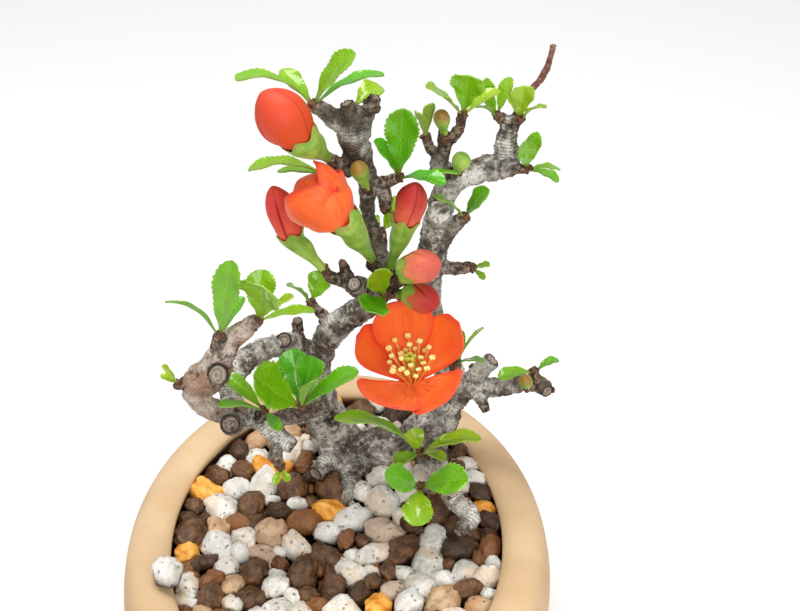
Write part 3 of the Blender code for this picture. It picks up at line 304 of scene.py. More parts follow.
# Blooms: the limb that carries it, the top of its green cup, the way it faces, and the cup's radius
OPEN_FLOWER = ("open_flower_spur", Vector((18.2, 8.9, 81.9)), Vector((-0.08, -0.25, 0.96)), 2.6)
HALF_FLOWER = ("flower_spur", Vector((3.8, 8.9, 127.3)), Vector((-0.74, 0.1, 0.66)), 3.4)
# Petals: turn round the axis, length, width, the angle from the axis at the claw and at the tip, and how
# sharply the tip closes
OPEN_PETALS = [(12, 20, 14.5, 60, 14, 0.55), (60, 17.5, 11.8, 76, 24, 0.55), (147, 14, 16.5, 84, 38, 0.34),
               (229, 13.5, 15.5, 88, 42, 0.36), (310, 19, 11.6, 72, 18, 0.55)]
HALF_PETALS = [(345, 10.5, 11, 66, 24, 0.55), (316, 17, 9, 72, -28, 1.6), (215, 17.5, 15, 78, -45, 0.55)]
# How hollow the petals are across, and how narrow their claws
OPEN_HOLLOW = 0.25
HALF_HOLLOW = 0.7
CLAW_POWER = 2.0
RUFFLE = 0.35
PETAL_ROWS = 22
PETAL_COLUMNS = 14
# The petals still rolled up in the half-open flower
HALF_HEART_LENGTH = 14.5
HALF_HEART_RADIUS = 6.5
# Cups: how high above the rim petals are seated, and how deep below it the wall goes inside
SEAT_TOP = 1.3
CUP_SIDES = 50
CUP_DEPTH = 0.8
PETAL_THICKNESS = 0.4
STAMEN_COUNT = 26
STAMEN_LENGTH = 9.6
STAMEN_LEAN = 0.15
# The turn from each stamen to the next, in radians, which spreads them evenly
STAMEN_TURN = 2.4
STYLE_COUNT = 5
STYLE_LENGTH = 8.6
# The bend of a thread that is one unit tall, and the shape and place of an anther's two sacs
THREAD_BOW = (0.0004, 0.0002, 0.5)
SAC_SHAPE = (0.72, 0.8, 1.15)
SAC_OFFSET = 0.26
BUD_SIDES = 72
# (share of the length, share of the radius) along a bud, above the mouth of its cup
BUD_PROFILE = [(0.3, 0.93), (0.52, 1), (0.72, 0.86), (0.88, 0.55), (0.97, 0.24), (1.0, 0.06)]
# Buds: limb, top of the green cup, tip of the petals, radius of the petals
BUDS = {
    "bud_a": ("bud_a_spur", Vector((-5, 10, 147)), Vector((-13, 10, 158)), 5.6),
    "bud_b": ("junction_spur", Vector((-9, 17.5, 118.3)), Vector((-12.8, 18.5, 130.4)), 3.5),
    "bud_c": ("bud_spur", Vector((16.5, 14, 124)), Vector((19, 14, 134)), 3.5),
    "bud_d": ("pink_bud_spur", Vector((17, 10, 114)), Vector((24, 7, 118)), 3.8),
    "bud_e": ("low_bud_spur", Vector((18, 12, 106)), Vector((24, 8, 106)), 3.3),
}
# How high the petals' overlap stands, how far it twists up the bud, and where it starts
BUD_ROLLS = {"bud_a": (0.07, 0.8, 0.3), "bud_b": (0.15, 0.3, 1.3), "bud_c": (0.15, 0.2, 0.75),
             "bud_d": (0.1, 1.3, 0.0), "bud_e": (0.1, 1.0, 0.5)}
BUD_LOBES = {"bud_a": 1.5, "bud_b": 1.3, "bud_c": 1.5, "bud_d": 2.0, "bud_e": 1.8}
# Green buds: limb, tip, radius
GREEN_BUDS = {
    "green_bud_f": ("right_fork", Vector((24, 22, 147)), 1.8),
    "green_bud_g": ("bud_g_spur", Vector((6, 14, 139)), 2.0),
    "green_bud_i": ("bud_i_spur", Vector((29, 20, 137)), 2.1),
    "green_bud_j": ("end_bud_spur", Vector((45, 15, 79)), 1.7),
}
GREEN_BUD_PROFILE = [(-0.13, 0.3), (0, 0.52), (0.18, 0.5), (0.36, 0.66), (0.56, 0.9), (0.74, 1), (0.89, 0.76),
                     (0.98, 0.3), (1, 0.1)]
BLUSHED_BUDS = ["green_bud_f", "green_bud_g", "green_bud_j"]


# Node trees

class Field:
    """A number, vector, colour or geometry that a node gives. Its operators add further nodes."""

    def __init__(self, graph, socket):
        self.graph = graph
        self.socket = socket

    def __add__(self, other):
        return self.graph.math("ADD", self, other)

    def __sub__(self, other):
        return self.graph.math("SUBTRACT", self, other)

    def __rsub__(self, other):
        return self.graph.math("SUBTRACT", other, self)

    def __mul__(self, other):
        return self.graph.math("MULTIPLY", self, other)

    def __truediv__(self, other):
        return self.graph.math("DIVIDE", self, other)

    def span(self, low, high, start=0.0, end=1.0):
        """The number's smooth way from low to high, as a number from start to end."""
        inputs = {"Value": self, "From Min": low, "From Max": high, "To Min": start, "To Max": end}
        return self.graph.make("ShaderNodeMapRange", inputs, interpolation_type="SMOOTHSTEP")

    def layered(self, *layers):
        """This colour with each (share, colour) laid over it in turn."""
        below = self
        for share, colour in layers:
            below = self.graph.blend(share, below, colour)
        return below


class Graph:
    """Adds the nodes of one shader or geometry tree and joins them."""

    def __init__(self, tree):
        self.tree = tree
        self.place = None

    def add(self, kind, inputs=None, **settings):
        """A new node. Each input, by name or number, takes a value or a field."""
        node = self.tree.nodes.new(kind)
        for setting, value in settings.items():
            setattr(node, setting, value)
        for socket, value in (inputs or {}).items():
            if isinstance(value, Field):
                self.tree.links.new(value.socket, node.inputs[socket])
            else:
                node.inputs[socket].default_value = value
        return node

    def make(self, kind, inputs=None, output=0, **settings):
        """The field that a new node gives."""
        return Field(self, self.add(kind, inputs, **settings).outputs[output])

    def fields(self, kind, inputs=None, **settings):
        """All the fields that a new node gives, by name."""
        sockets = self.add(kind, inputs, **settings).outputs
        return {socket.name: Field(self, socket) for socket in sockets}

    def math(self, operation, *values):
        return self.make("ShaderNodeMath", dict(enumerate(values)), operation=operation)

    def vector(self, operation, *values):
        return self.make("ShaderNodeVectorMath", dict(enumerate(values)), operation=operation)

    def scaled(self, vector, factor):
        return self.make("ShaderNodeVectorMath", {0: vector, "Scale": factor}, operation="SCALE")

    def joined(self, *numbers):
        return self.make("ShaderNodeCombineXYZ", dict(enumerate(numbers)))

    def split(self, vector):
        return list(self.fields("ShaderNodeSeparateXYZ", {0: vector}).values())

    def noise(self, scale, detail=3.0, place=None, output=0):
        inputs = {"Vector": place or self.place, "Scale": scale, "Detail": detail}
        return self.make("ShaderNodeTexNoise", inputs, output)

    def cells(self, scale, feature="F1", place=None):
        inputs = {"Vector": place or self.place, "Scale": scale}
        return self.make("ShaderNodeTexVoronoi", inputs, "Distance", feature=feature)

    def blend(self, share, first, second):
        return self.make("ShaderNodeMix", {0: share, 6: first, 7: second}, 2, data_type="RGBA")

    # Only in geometry trees

    def named(self, name, kind="FLOAT"):
        """A named attribute of the geometry."""
        return self.make("GeometryNodeInputNamedAttribute", {"Name": name}, "Attribute", data_type=kind)

    def ways(self, *names):
        """Named vector attributes of the geometry."""
        return [self.named(name, "FLOAT_VECTOR") for name in names]

    def store(self, geometry, name, value, kind="FLOAT", domain="POINT"):
        inputs = {"Geometry": geometry, "Name": name, "Value": value}
        return self.make("GeometryNodeStoreNamedAttribute", inputs, data_type=kind, domain=domain)

    def random(self, low, high, seed):
        return self.make("FunctionNodeRandomValue", {2: low, 3: high, "Seed": seed}, 1, data_type="FLOAT")

    def curve(self, value, points):
        """The value's height on a curve through the points."""
        node = self.add("ShaderNodeFloatCurve", {"Value": value})
        curve = node.mapping.curves[0]
        while len(curve.points) < len(points):
            curve.points.new(0.5, 0.5)
        for knot, point in zip(curve.points, points):
            knot.location = point
        node.mapping.update()
        return Field(self, node.outputs[0])

    def facing(self, way):
        """The turn that points the Z axis along a way."""
        return self.make("FunctionNodeAlignRotationToVector", {"Vector": way}, axis="Z")

    def ball(self, radius, detail):
        return self.make("GeometryNodeMeshIcoSphere", {"Radius": radius, "Subdivisions": detail})

    def instances(self, points, instance, **inputs):
        return self.make("GeometryNodeInstanceOnPoints", {"Points": points, "Instance": instance, **inputs})

    def realized(self, geometry):
        return self.make("GeometryNodeRealizeInstances", {"Geometry": geometry})

    def moved(self, geometry, **how):
        return self.make("GeometryNodeSetPosition", {"Geometry": geometry, **how})

    def position(self):
        return self.make("GeometryNodeInputPosition")

    def dented(self, geometry, depth):
        """The geometry moved along its normals."""
        return self.moved(geometry, Offset=self.scaled(self.make("GeometryNodeInputNormal"), depth))


class Finish(Graph):
    """A Principled material in the making. Its place is the point on the object, in millimetres."""

    def __init__(self, name, roughness, **sockets):
        self.material = bpy.data.materials.new(name)
        self.material.use_nodes = True
        super().__init__(self.material.node_tree)
        self.shader = self.tree.nodes["Principled BSDF"]
        for socket, value in {"Roughness": roughness, **sockets}.items():
            self.shader.inputs[socket.replace("_", " ")].default_value = value
        self.place = self.scaled(self.make("ShaderNodeTexCoord", output="Object"), 1 / MM)

    def attribute(self, name):
        return self.make("ShaderNodeAttribute", output="Fac", attribute_name=name)

    def map(self, name):
        """The spot on a map: across, along, and how far it lies from the map's middle line."""
        across, along, _ = self.split(self.make("ShaderNodeUVMap", uv_map=name))
        return across, along, self.math("ABSOLUTE", across - 0.5)

    def feed(self, socket, value):
        self.tree.links.new(value.socket, self.shader.inputs[socket])

    def bump(self, height, depth, strength=1.0):
        """Relief of the given depth in millimetres, on top of the relief that is there."""
        inputs = {"Height": height, "Distance": depth * MM, "Strength": strength}
        for below in self.shader.inputs["Normal"].links:
            inputs["Normal"] = Field(self, below.from_socket)
        self.feed("Normal", self.make("ShaderNodeBump", inputs))


def tone(red, green, blue):
    """A linear colour from the numbers a screen shows it with."""
    def linear(level):
        share = level / 255
        return share / 12.92 if share <= 0.04045 else ((share + 0.055) / 1.055) ** 2.4
    return (linear(red), linear(green), linear(blue), 1.0)


# Materials

def tan_ceramic():
    """Matte, unglazed clay with faint clouds, grit and a few dark specks."""
    clay = Finish("tan_ceramic", 0.72)
    body = clay.blend(clay.noise(0.06, 4).span(0.3, 0.7), tone(205, 175, 137), tone(218, 190, 153))
    grit = clay.noise(1.7, 2).span(0.62, 0.8)
    specks = clay.cells(0.45).span(0.09, 0.03)
    clay.feed("Base Color", body.layered(
        (grit * 0.35, tone(190, 146, 102)), (specks * 0.3, tone(150, 108, 72))))
    clay.bump(clay.noise(2.5, 4), 0.05, 0.5)
    return clay.material


def dark_bed():
    # The bed's dark colour is partly the soil's own and partly painted shade for the gaps between the grains.
    bed = Finish("dark_bed", 0.9)
    mottle = bed.noise(0.6, 4)
    bed.feed("Base Color", bed.blend(mottle, tone(30, 22, 17), tone(70, 54, 42)))
    bed.bump(mottle, 0.6)
    return bed.material


def pumice(name, pale, shaded, warm):
    """Foamed stone: a pale body, dark specks, small pits with painted shade in them, a warm stain here and
    there, and painted shade low on each grain.
    """
    stone = Finish(name, 0.88)
    tint = stone.attribute("tint")
    fine = stone.noise(1.3, 5).span(0.48, 0.68, 0.0, 0.45)
    stain = stone.noise(0.16).span(0.46, 0.64) * (tint * 0.7 + 0.15)
    warped = stone.vector("ADD", stone.place, stone.scaled(stone.noise(1.3, 2.0, output="Color"), 1.2))
    specks = stone.cells(0.6, place=warped).span(0.3, 0.18) * stone.noise(0.22, 1).span(0.44, 0.58) * 0.8
    body = stone.blend(stone.noise(0.35, 4).span(0.35, 0.65), pale, shaded).layered(
        (fine, stone.blend(0.5, shaded, tone(150, 142, 130))), (stain, warm),
        (tint.span(0.5, 0.1, 0.0, 0.4), tone(214, 216, 220)), (specks, tone(58, 54, 50)))
    pits = stone.cells(1.6).span(0.0, 0.32)
    # Darker in the pits: painted shade in the pores.
    body = stone.blend(pits * 0.35, body.layered((0.35, shaded)), body)
    # Darker low on each grain, by its low attribute: painted shade where grains meet and sink into the bed.
    stone.feed("Base Color", body.layered((stone.attribute("low") * 0.9, tone(56, 46, 38))))
    stone.bump(pits, 0.12, 0.6)
    stone.bump(stone.noise(1.3, 5), 0.35, 0.7)
    return stone.material


def wet_clay_grain():
    """Damp, dark brown clay: some grains redder and some darker, with pale flecks that are painted glints,
    and painted shade low on each grain.
    """
    clod = Finish("wet_brown_grain", 0.36, Specular_IOR_Level=0.6)
    tint = clod.attribute("tint")
    # Pale flecks: painted glints of the damp surface.
    painted_glints = clod.cells(1.3).span(0.24, 0.1) * clod.noise(0.5, 2).span(0.5, 0.62)
    body = clod.blend(clod.noise(0.5, 4).span(0.3, 0.7), tone(80, 55, 34), tone(128, 93, 61))
    # The last two layers are painted: the pale glints, and painted shade low on each grain.
    clod.feed("Base Color", body.layered(
        (tint.span(0.6, 1.0, 0.0, 0.75), tone(158, 104, 60)),
        (tint.span(0.4, 0.0, 0.0, 0.7), tone(56, 40, 29)),
        (painted_glints * 0.55, tone(176, 150, 124)), (clod.attribute("low").span(0.0, 0.7), tone(22, 15, 11))))
    clod.feed("Roughness", clod.noise(0.9).span(0.35, 0.65, 0.2, 0.5))
    clod.bump(clod.noise(0.8, 4), 0.25, 0.8)
    clod.bump(clod.noise(2.4, 5), 0.3)
    return clod.material


def amber_stone():
    """Orange-yellow stone with a few darker specks."""
    stone = Finish("amber_grain", 0.5)
    body = stone.blend(stone.noise(0.35, 4).span(0.35, 0.65), tone(216, 140, 44), tone(246, 190, 96))
    stone.feed("Base Color", body.layered((stone.cells(1.2).span(0.2, 0.1) * 0.4, tone(190, 110, 40))))
    stone.bump(stone.noise(1.0, 5), 0.3, 0.7)
    return stone.material


def black_plastic():
    plastic = Finish("black_plastic", 0.55)
    scuffs = plastic.noise(1.5, 4)
    plastic.feed("Base Color", plastic.blend(scuffs, tone(30, 30, 30), tone(56, 56, 54)))
    plastic.bump(scuffs, 0.03)
    return plastic.material


def bark():
    """Silvery bark on thick limbs, dark brown and scaly on spurs, with painted shade on undersides and in
    hollows, and pruning cuts.
    """
    rind = Finish("grey_bark", 0.72)
    girth = rind.attribute("girth")
    wrinkles = rind.math("SINE", rind.attribute("along") * 8.5 + rind.noise(0.25) * 16.0)
    # Painted shade on the undersides of limbs, in patches.
    under = rind.attribute("under") * rind.noise(0.2, 4).span(0.35, 0.55)
    plain = rind.attribute("warm").span(0.0, 1.0, 1.0, 0.35)
    ringed = rind.noise(0.07, 1).span(0.46, 0.6, 0.05, 0.55) * plain
    twig = rind.blend(rind.noise(0.5).span(0.4, 0.6), tone(118, 74, 64), tone(150, 108, 96))
    # The first layer is painted shade on undersides and the last is painted shade in the bark's hollows.
    body = rind.blend(girth.span(2.1, 1.35), silver_bark(rind), scaly_bark(rind)).layered(
        (under * 0.6, tone(78, 62, 52)), (wrinkles.span(0.5, 1.0) * ringed, tone(62, 50, 44)),
        (girth.span(1.2, 0.95, 0.0, 0.85), twig),
        (rind.attribute("hollow").span(0.1, 1.6, 0.0, 0.75), tone(48, 37, 31)))
    rind.feed("Base Color", cut_faces(rind, body))
    rind.bump(wrinkles, 0.07, 0.7)
    rind.bump(rind.noise(1.2, 6), 0.5, 0.9)
    rind.bump(rind.noise(3.0, 4), 0.22, 0.8)
    return rind.material


def silver_bark(rind):
    """Grey bark: patches, pores, dark cracks that are partly painted shade, pale ridges that are partly
    painted highlight, warm or brown on some limbs, darker low down.
    """
    broad = rind.noise(0.12, 4).span(0.4, 0.58)
    patches = rind.noise(0.3, 6).span(0.48, 0.68)
    pores = rind.cells(0.8).span(0.2, 0.1) * rind.noise(0.25, 1).span(0.45, 0.6)
    # Dark cracks: partly the bark's own colour, partly painted shade in the cracks.
    cracks_and_shade = rind.noise(1.7, 7).span(0.48, 0.36, 0.0, 0.6)
    # Pale ridges: partly the bark's silver, partly painted highlight.
    ridges_and_highlights = rind.noise(0.9, 6).span(0.5, 0.66, 0.0, 0.6)
    warm = rind.attribute("warm") * broad.span(0.0, 1.0, 0.8, 0.45)
    brown = rind.attribute("brown") * broad.span(0.0, 1.0, 0.8, 0.3)
    pale_pores = rind.cells(1.1).span(0.22, 0.12) * rind.noise(0.2, 2).span(0.5, 0.6, 0.0, 0.75)
    # Darker in patches low down the trunk.
    low = (rind.split(rind.place)[2] + rind.noise(0.12) * 40.0).span(84, 62)
    darker_low_patches = low * rind.noise(0.22, 4).span(0.4, 0.6, 0.05, 0.5)
    return rind.blend(broad, tone(116, 109, 98), tone(230, 226, 217)).layered(
        (patches * 0.6, tone(88, 75, 61)), (pores * 0.7, tone(66, 52, 46)), (cracks_and_shade, tone(74, 64, 56)),
        (ridges_and_highlights, tone(234, 230, 221)), (warm, tone(182, 144, 120)), (brown, tone(92, 77, 63)),
        (pale_pores, tone(216, 206, 192)), (darker_low_patches, tone(84, 74, 63)))


def scaly_bark(rind):
    """Dark brown bark with paler scales and reddish patches."""
    body = rind.blend(rind.noise(0.9, 5).span(0.4, 0.62), tone(56, 46, 40), tone(164, 146, 128))
    return body.layered((rind.noise(0.3, 2).span(0.56, 0.7, 0.0, 0.8), tone(124, 78, 60)))


def cut_faces(rind, body):
    """Adds the grey-brown heart, its faint rings and the dark edge of a pruning cut to the bark's colour."""
    reach = rind.attribute("cut_reach")
    rings = rind.math("SINE", reach * 17.0 + rind.noise(0.5, 4) * 13.0)
    pale = rind.blend(rings.span(-0.4, 0.8), tone(198, 188, 174), tone(162, 148, 133))
    face = rind.blend(rings.span(-0.2, 1.0), tone(158, 140, 124), tone(116, 98, 84)).layered(
        (rind.noise(0.9, 4).span(0.5, 0.65), tone(70, 54, 46)), (rind.attribute("cut_pale"), pale),
        (reach.span(0.6, 0.78), tone(66, 54, 47)))
    return rind.blend(reach.span(1.02, 0.85), body, face)


def mottled(name, roughness, low, high, grain, relief, depth, **sockets):
    """Two tones in patches of one grain, with relief of another."""
    skin = Finish(name, roughness, **sockets)
    skin.feed("Base Color", skin.blend(skin.noise(grain).span(0.35, 0.65), low, high))
    skin.bump(skin.noise(*relief), depth)
    return skin.material


def bud_scale():
    return mottled("bud_scale", 0.6, tone(66, 42, 34), tone(128, 90, 66), 1.2, (2.2, 4), 0.2)


def stamen_finish(name, low, high, roughness):
    return mottled(name, roughness, low, high, 1.4, (4.0, 3), 0.08,
                   Subsurface_Weight=0.1, Subsurface_Scale=0.001)


def leaf_lines(leaf):
    """How strongly a midrib or a side vein shows at a point of the leaf's map, and where that point is."""
    _, share, off = leaf.map("leaf_map")
    from_vein = leaf.math("PINGPONG", share * 7.0 - off * 5.5, 0.5)
    veins = from_vein.span(0.12, 0.02) * off.span(0.5, 0.3, 0.25, 0.8)
    return leaf.math("MAXIMUM", off.span(0.05, 0.012), veins), off, share


def leaf_top():
    """Glossy upper side: deep to yellow green by the leaf's tint, pale veins and a paler, toothed edge."""
    leaf = Finish("leaf_green", 0.34, Specular_IOR_Level=0.4, Subsurface_Weight=0.15, Subsurface_Scale=0.0015,
                  Subsurface_Radius=LEAF_GLOW, Coat_Weight=0.75, Coat_Roughness=0.08)
    lines, off, share = leaf_lines(leaf)
    mottle = leaf.noise(0.35).span(0.3, 0.7)
    body = leaf.blend(leaf.attribute("tint"), tone(80, 168, 0), tone(162, 190, 6))
    leaf.feed("Base Color", body.layered(
        (mottle * 0.35, tone(86, 140, 0)), (lines * 0.24, tone(160, 200, 70)),
        (off.span(0.43, 0.5) * 0.5, tone(176, 200, 84)), (share.span(0.16, 0.0) * 0.7, tone(150, 96, 60))))
    leaf.bump(leaf.cells(1.1, "DISTANCE_TO_EDGE").span(0.0, 0.3), 0.08, 0.6)
    leaf.bump(leaf.noise(0.7), 0.35, 0.7)
    leaf.bump(1.0 - lines, 0.09, 0.6)
    return leaf.material


def leaf_under():
    """Matte, paler underside with raised veins."""
    leaf = Finish("leaf_under", 0.55, Subsurface_Weight=0.12, Subsurface_Scale=0.0012)
    lines, _, _ = leaf_lines(leaf)
    body = leaf.blend(leaf.attribute("tint"), tone(98, 156, 62), tone(160, 186, 70))
    leaf.feed("Base Color", body.layered((lines * 0.5, tone(196, 214, 150))))
    leaf.bump(lines, 0.15, 0.6)
    return leaf.material


def petal_finish(name, body, edge, vein, pale_streaks):
    """Thin petal: fine veins that run out from its claw, and a redder, darker rim: partly the petal's own
    colour, partly painted shade where petals meet.
    """
    petal = Finish(name, 0.5, Subsurface_Weight=0.25, Subsurface_Scale=0.0025, Subsurface_Radius=PETAL_GLOW,
                   Sheen_Weight=0.15)
    across, share, off = petal.map("petal_map")
    fan = petal.joined(across * 26.0, share * 2.2)
    lines = petal.noise(1.0, place=fan).span(0.5, 0.66)
    pale = petal.noise(1.9, 2, fan).span(0.45, 0.62) * share.span(0.66, 0.2)
    blotches = petal.noise(0.4, 2).span(0.55, 0.68) * share.span(0.55, 0.2, 0.0, 0.4)
    # The rim: the petal's redder edge, darker partly as painted shade where petals meet.
    rim = petal.math("MAXIMUM", off.span(0.4, 0.5), share.span(0.86, 1.0))
    clouds = petal.blend(petal.noise(0.12, 2).span(0.3, 0.7), body, petal.blend(0.35, body, edge))
    petal.feed("Base Color", clouds.layered(
        (lines * 0.5, vein), (pale * pale_streaks, tone(255, 186, 130)), (blotches, tone(226, 54, 24)),
        (rim * 0.75, edge)))
    petal.bump(lines, 0.06, 0.6)
    return petal.material


def bud_finish(name, base, top, overlap_shade):
    """Petals still rolled up: orange near the cup, redder towards the tip, with a dark line of painted shade
    at each edge where one petal overlaps the next.
    """
    petal = Finish(name, 0.52, Subsurface_Weight=0.2, Subsurface_Scale=0.002, Subsurface_Radius=PETAL_GLOW,
                   Specular_IOR_Level=0.35)
    across, share, _ = petal.map("petal_map")
    within = petal.math("FRACT", across * 3.0)
    clouds = (petal.noise(0.2) - 0.5) * 0.8
    lines = petal.noise(1.0, 2, petal.joined(across * 40.0, share)).span(0.52, 0.7)
    # The dark line at each petal's edge is painted shade where it overlaps the next.
    edge = petal.math("MAXIMUM", within.span(0.95, 1.0), within.span(0.04, 0.0))
    petal.feed("Base Color", petal.blend((share + clouds).span(0.2, 0.75), base, top).layered(
        (lines * 0.16, tone(176, 40, 40)), (edge * overlap_shade, tone(140, 26, 36))))
    petal.bump(lines, 0.06, 0.6)
    petal.bump(petal.noise(0.5), 0.15, 0.6)
    return petal.material


def calyx_green(name, blush_from):
    """Green skin that turns reddish brown at its lobes or its tip."""
    skin = Finish(name, 0.42, Subsurface_Weight=0.1, Subsurface_Scale=0.001)
    across, share, _ = skin.map("petal_map")
    mottle = skin.noise(0.3, 4)
    streaks = skin.noise(1.0, 2, skin.joined(across * 30.0, share)).span(0.5, 0.7)
    blush = (share + mottle * 0.5).span(blush_from, blush_from + 0.24)
    body = skin.blend(mottle.span(0.35, 0.65), tone(122, 162, 58), tone(158, 188, 84))
    skin.feed("Base Color", body.layered(
        (streaks * 0.3, tone(186, 204, 122)), (blush * 0.7, tone(160, 88, 54))))
    skin.bump(skin.noise(2.5), 0.05, 0.6)
    return skin.material


# Pieces

def put(name, data):
    """A new object in the scene."""
    thing = bpy.data.objects.new(name, data)
    bpy.context.scene.collection.objects.link(thing)
    return thing


def clothe(mesh, *materials):
    """The mesh gets the given materials and no others."""
    mesh.materials.clear()
    for material in materials:
        mesh.materials.append(material)


def link(name, mesh, *materials):
    """A new object of a mesh that has only the given materials."""
    clothe(mesh, *materials)
    return put(name, mesh)


def smooth(mesh, sharp_degrees=None):
    """Smooth shading, with sharp edges where faces meet at more than the angle, if one is given."""
    mesh.shade_smooth()
    if sharp_degrees is not None:
        mesh.set_sharp_from_angle(angle=math.radians(sharp_degrees))


def modelled(name, bm, *materials, sharp_degrees=None):
    """A new smooth object in metres from a bmesh in millimetres."""
    bm.transform(Matrix.Scale(MM, 4))
    mesh = bpy.data.meshes.new(name)
    bm.to_mesh(mesh)
    bm.free()
    smooth(mesh, sharp_degrees)
    return link(name, mesh, *materials)


def made_mesh(thing):
    """The mesh that a curve, or a piece with modifiers, makes."""
    bpy.context.view_layer.update()
    return bpy.data.meshes.new_from_object(thing.evaluated_get(bpy.context.evaluated_depsgraph_get()))


def settle(piece):
    """Keep what the modifiers make, and drop the modifiers."""
    mesh = made_mesh(piece)
    piece.modifiers.clear()
    piece.data = mesh
    mesh.name = piece.name
    return piece


def take_place(piece, slot, *nodes):
    """The piece rides on the part and stands for its CAD nodes; its slot is not used."""
    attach(piece, ROOT)
    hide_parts(*nodes)


def discard(piece):
    bpy.data.objects.remove(piece, do_unlink=True)


def petal_chart(bm):
    return bm.loops.layers.uv.get("petal_map") or bm.loops.layers.uv.new("petal_map")


def mapped_face(bm, chart, corners, spots):
    """A face whose corners have the given spots on the map."""
    for loop, spot in zip(bm.faces.new(corners).loops, spots):
        loop[chart].uv = spot


def skin_rows(bm, rows):
    """Quads round closed rows of equal counts, with their map, and a fan over each open end."""
    chart = petal_chart(bm)
    count = len(rows[0])
    rings = [[bm.verts.new(point) for point in row] for row in rows]
    for step, (low, high) in enumerate(zip(rings, rings[1:])):
        below, above = step / (len(rings) - 1), (step + 1) / (len(rings) - 1)
        for i in range(count):
            j, left, right = (i + 1) % count, i / count, (i + 1) / count
            mapped_face(bm, chart, (low[i], low[j], high[j], high[i]),
                        ((left, below), (right, below), (right, above), (left, above)))
    for ring, level in ((rings[0][::-1], 0.0), (rings[-1], 1.0)):
        centre = bm.verts.new(sum((vertex.co for vertex in ring), Vector()) / count)
        for i in range(count):
            mapped_face(bm, chart, (ring[i], ring[(i + 1) % count], centre), [(i / count, level)] * 3)


def skinned(name, rows, *materials, sharp_degrees=None):
    """A new smooth object whose skin runs through closed rows of points."""
    bm = bmesh.new()
    skin_rows(bm, rows)
    return modelled(name, bm, *materials, sharp_degrees=sharp_degrees)


def through(points, steps):
    """A smooth run of tuples through the given ones, with the given steps between each two."""
    ends = [points[0]] + list(points) + [points[-1]]
    run = []
    for knots in zip(ends, ends[1:], ends[2:], ends[3:]):
        for step in range(steps):
            s = step / steps
            weights = (-0.5 * s + s ** 2 - 0.5 * s ** 3, 1 - 2.5 * s ** 2 + 1.5 * s ** 3,
                       0.5 * s + 2 * s ** 2 - 1.5 * s ** 3, -0.5 * s ** 2 + 0.5 * s ** 3)
            run.append(tuple(sum(w * p for w, p in zip(weights, column)) for column in zip(*knots)))
    return run + [tuple(points[-1])]


def cut_away(piece, cutter):
    boolean = piece.modifiers.new("cut", "BOOLEAN")
    boolean.operation = "DIFFERENCE"
    boolean.solver = "EXACT"
    boolean.object = cutter
    settle(piece)
    discard(cutter)


# Growth trees

def growth(name, numbers, integers=(), switches=()):
    """A new geometry tree with named inputs: its graph, its given fields and the way to end it."""
    tree = bpy.data.node_groups.new(name, "GeometryNodeTree")
    kinds = {"Geometry": ["Geometry"], "Material": ["Finish"], "Float": numbers, "Int": integers,
             "Bool": switches}
    for kind, labels in kinds.items():
        for label in labels:
            tree.interface.new_socket(label, in_out="INPUT", socket_type=f"NodeSocket{kind}")
    tree.interface.new_socket("Geometry", in_out="OUTPUT", socket_type="NodeSocketGeometry")
    graph = Graph(tree)
    given = graph.fields("NodeGroupInput")

    def end(geometry):
        finished = graph.make("GeometryNodeSetMaterial", {"Geometry": geometry, "Material": given["Finish"]})
        graph.add("NodeGroupOutput", {"Geometry": finished})
        return tree

    return graph, given, end


def grow(piece, tree, finish, **sizes):
    """Run a growth tree on a piece with the given sizes, and keep the smooth mesh that it makes."""
    modifier = piece.modifiers.new(tree.name, "NODES")
    modifier.node_group = tree
    values = {"Finish": finish, **sizes}
    for socket in tree.interface.items_tree:
        if socket.in_out == "INPUT" and socket.name in values:
            modifier[socket.identifier] = values[socket.name]
    settle(piece).data.shade_smooth()
    return piece


def pebble_tree():
    """Small stones or scales strewn over a surface, each turned, sized and dented in its own way."""
    graph, given, end = growth(
        "strewn_pebbles", ["Distance", "Density", "Smallest", "Largest", "Flatness", "Dents", "Sink"],
        ["Detail", "Seed"])
    seed = given["Seed"]
    spread = graph.fields("GeometryNodeDistributePointsOnFaces", {
        "Mesh": given["Geometry"], "Distance Min": given["Distance"], "Density Max": given["Density"],
        "Density Factor": graph.named("share"), "Seed": seed}, distribute_method="POISSON")
    points = graph.store(spread["Points"], "tint", graph.random(0.0, 1.0, seed))
    drop = given["Sink"] * graph.random(-1.0, 1.0, seed + 1)
    points = graph.moved(points, Offset=graph.scaled(spread["Normal"], drop))
    size = graph.random(given["Smallest"], given["Largest"], seed + 2)
    stretch = graph.joined(size * graph.random(0.8, 1.35, seed + 3), size, size * given["Flatness"])
    spin = graph.make("FunctionNodeRotateEuler", {
        0: spread["Rotation"], "Angle": graph.random(0.0, math.tau, seed + 4)},
        rotation_type="AXIS_ANGLE", space="LOCAL")
    stones = graph.instances(points, graph.ball(1.0, given["Detail"]), Rotation=spin, Scale=stretch)
    stones = graph.realized(stones)
    dent = graph.noise(0.45, 2, graph.scaled(graph.position(), 1 / MM)) - 0.5
    return end(graph.dented(stones, dent * given["Dents"]))


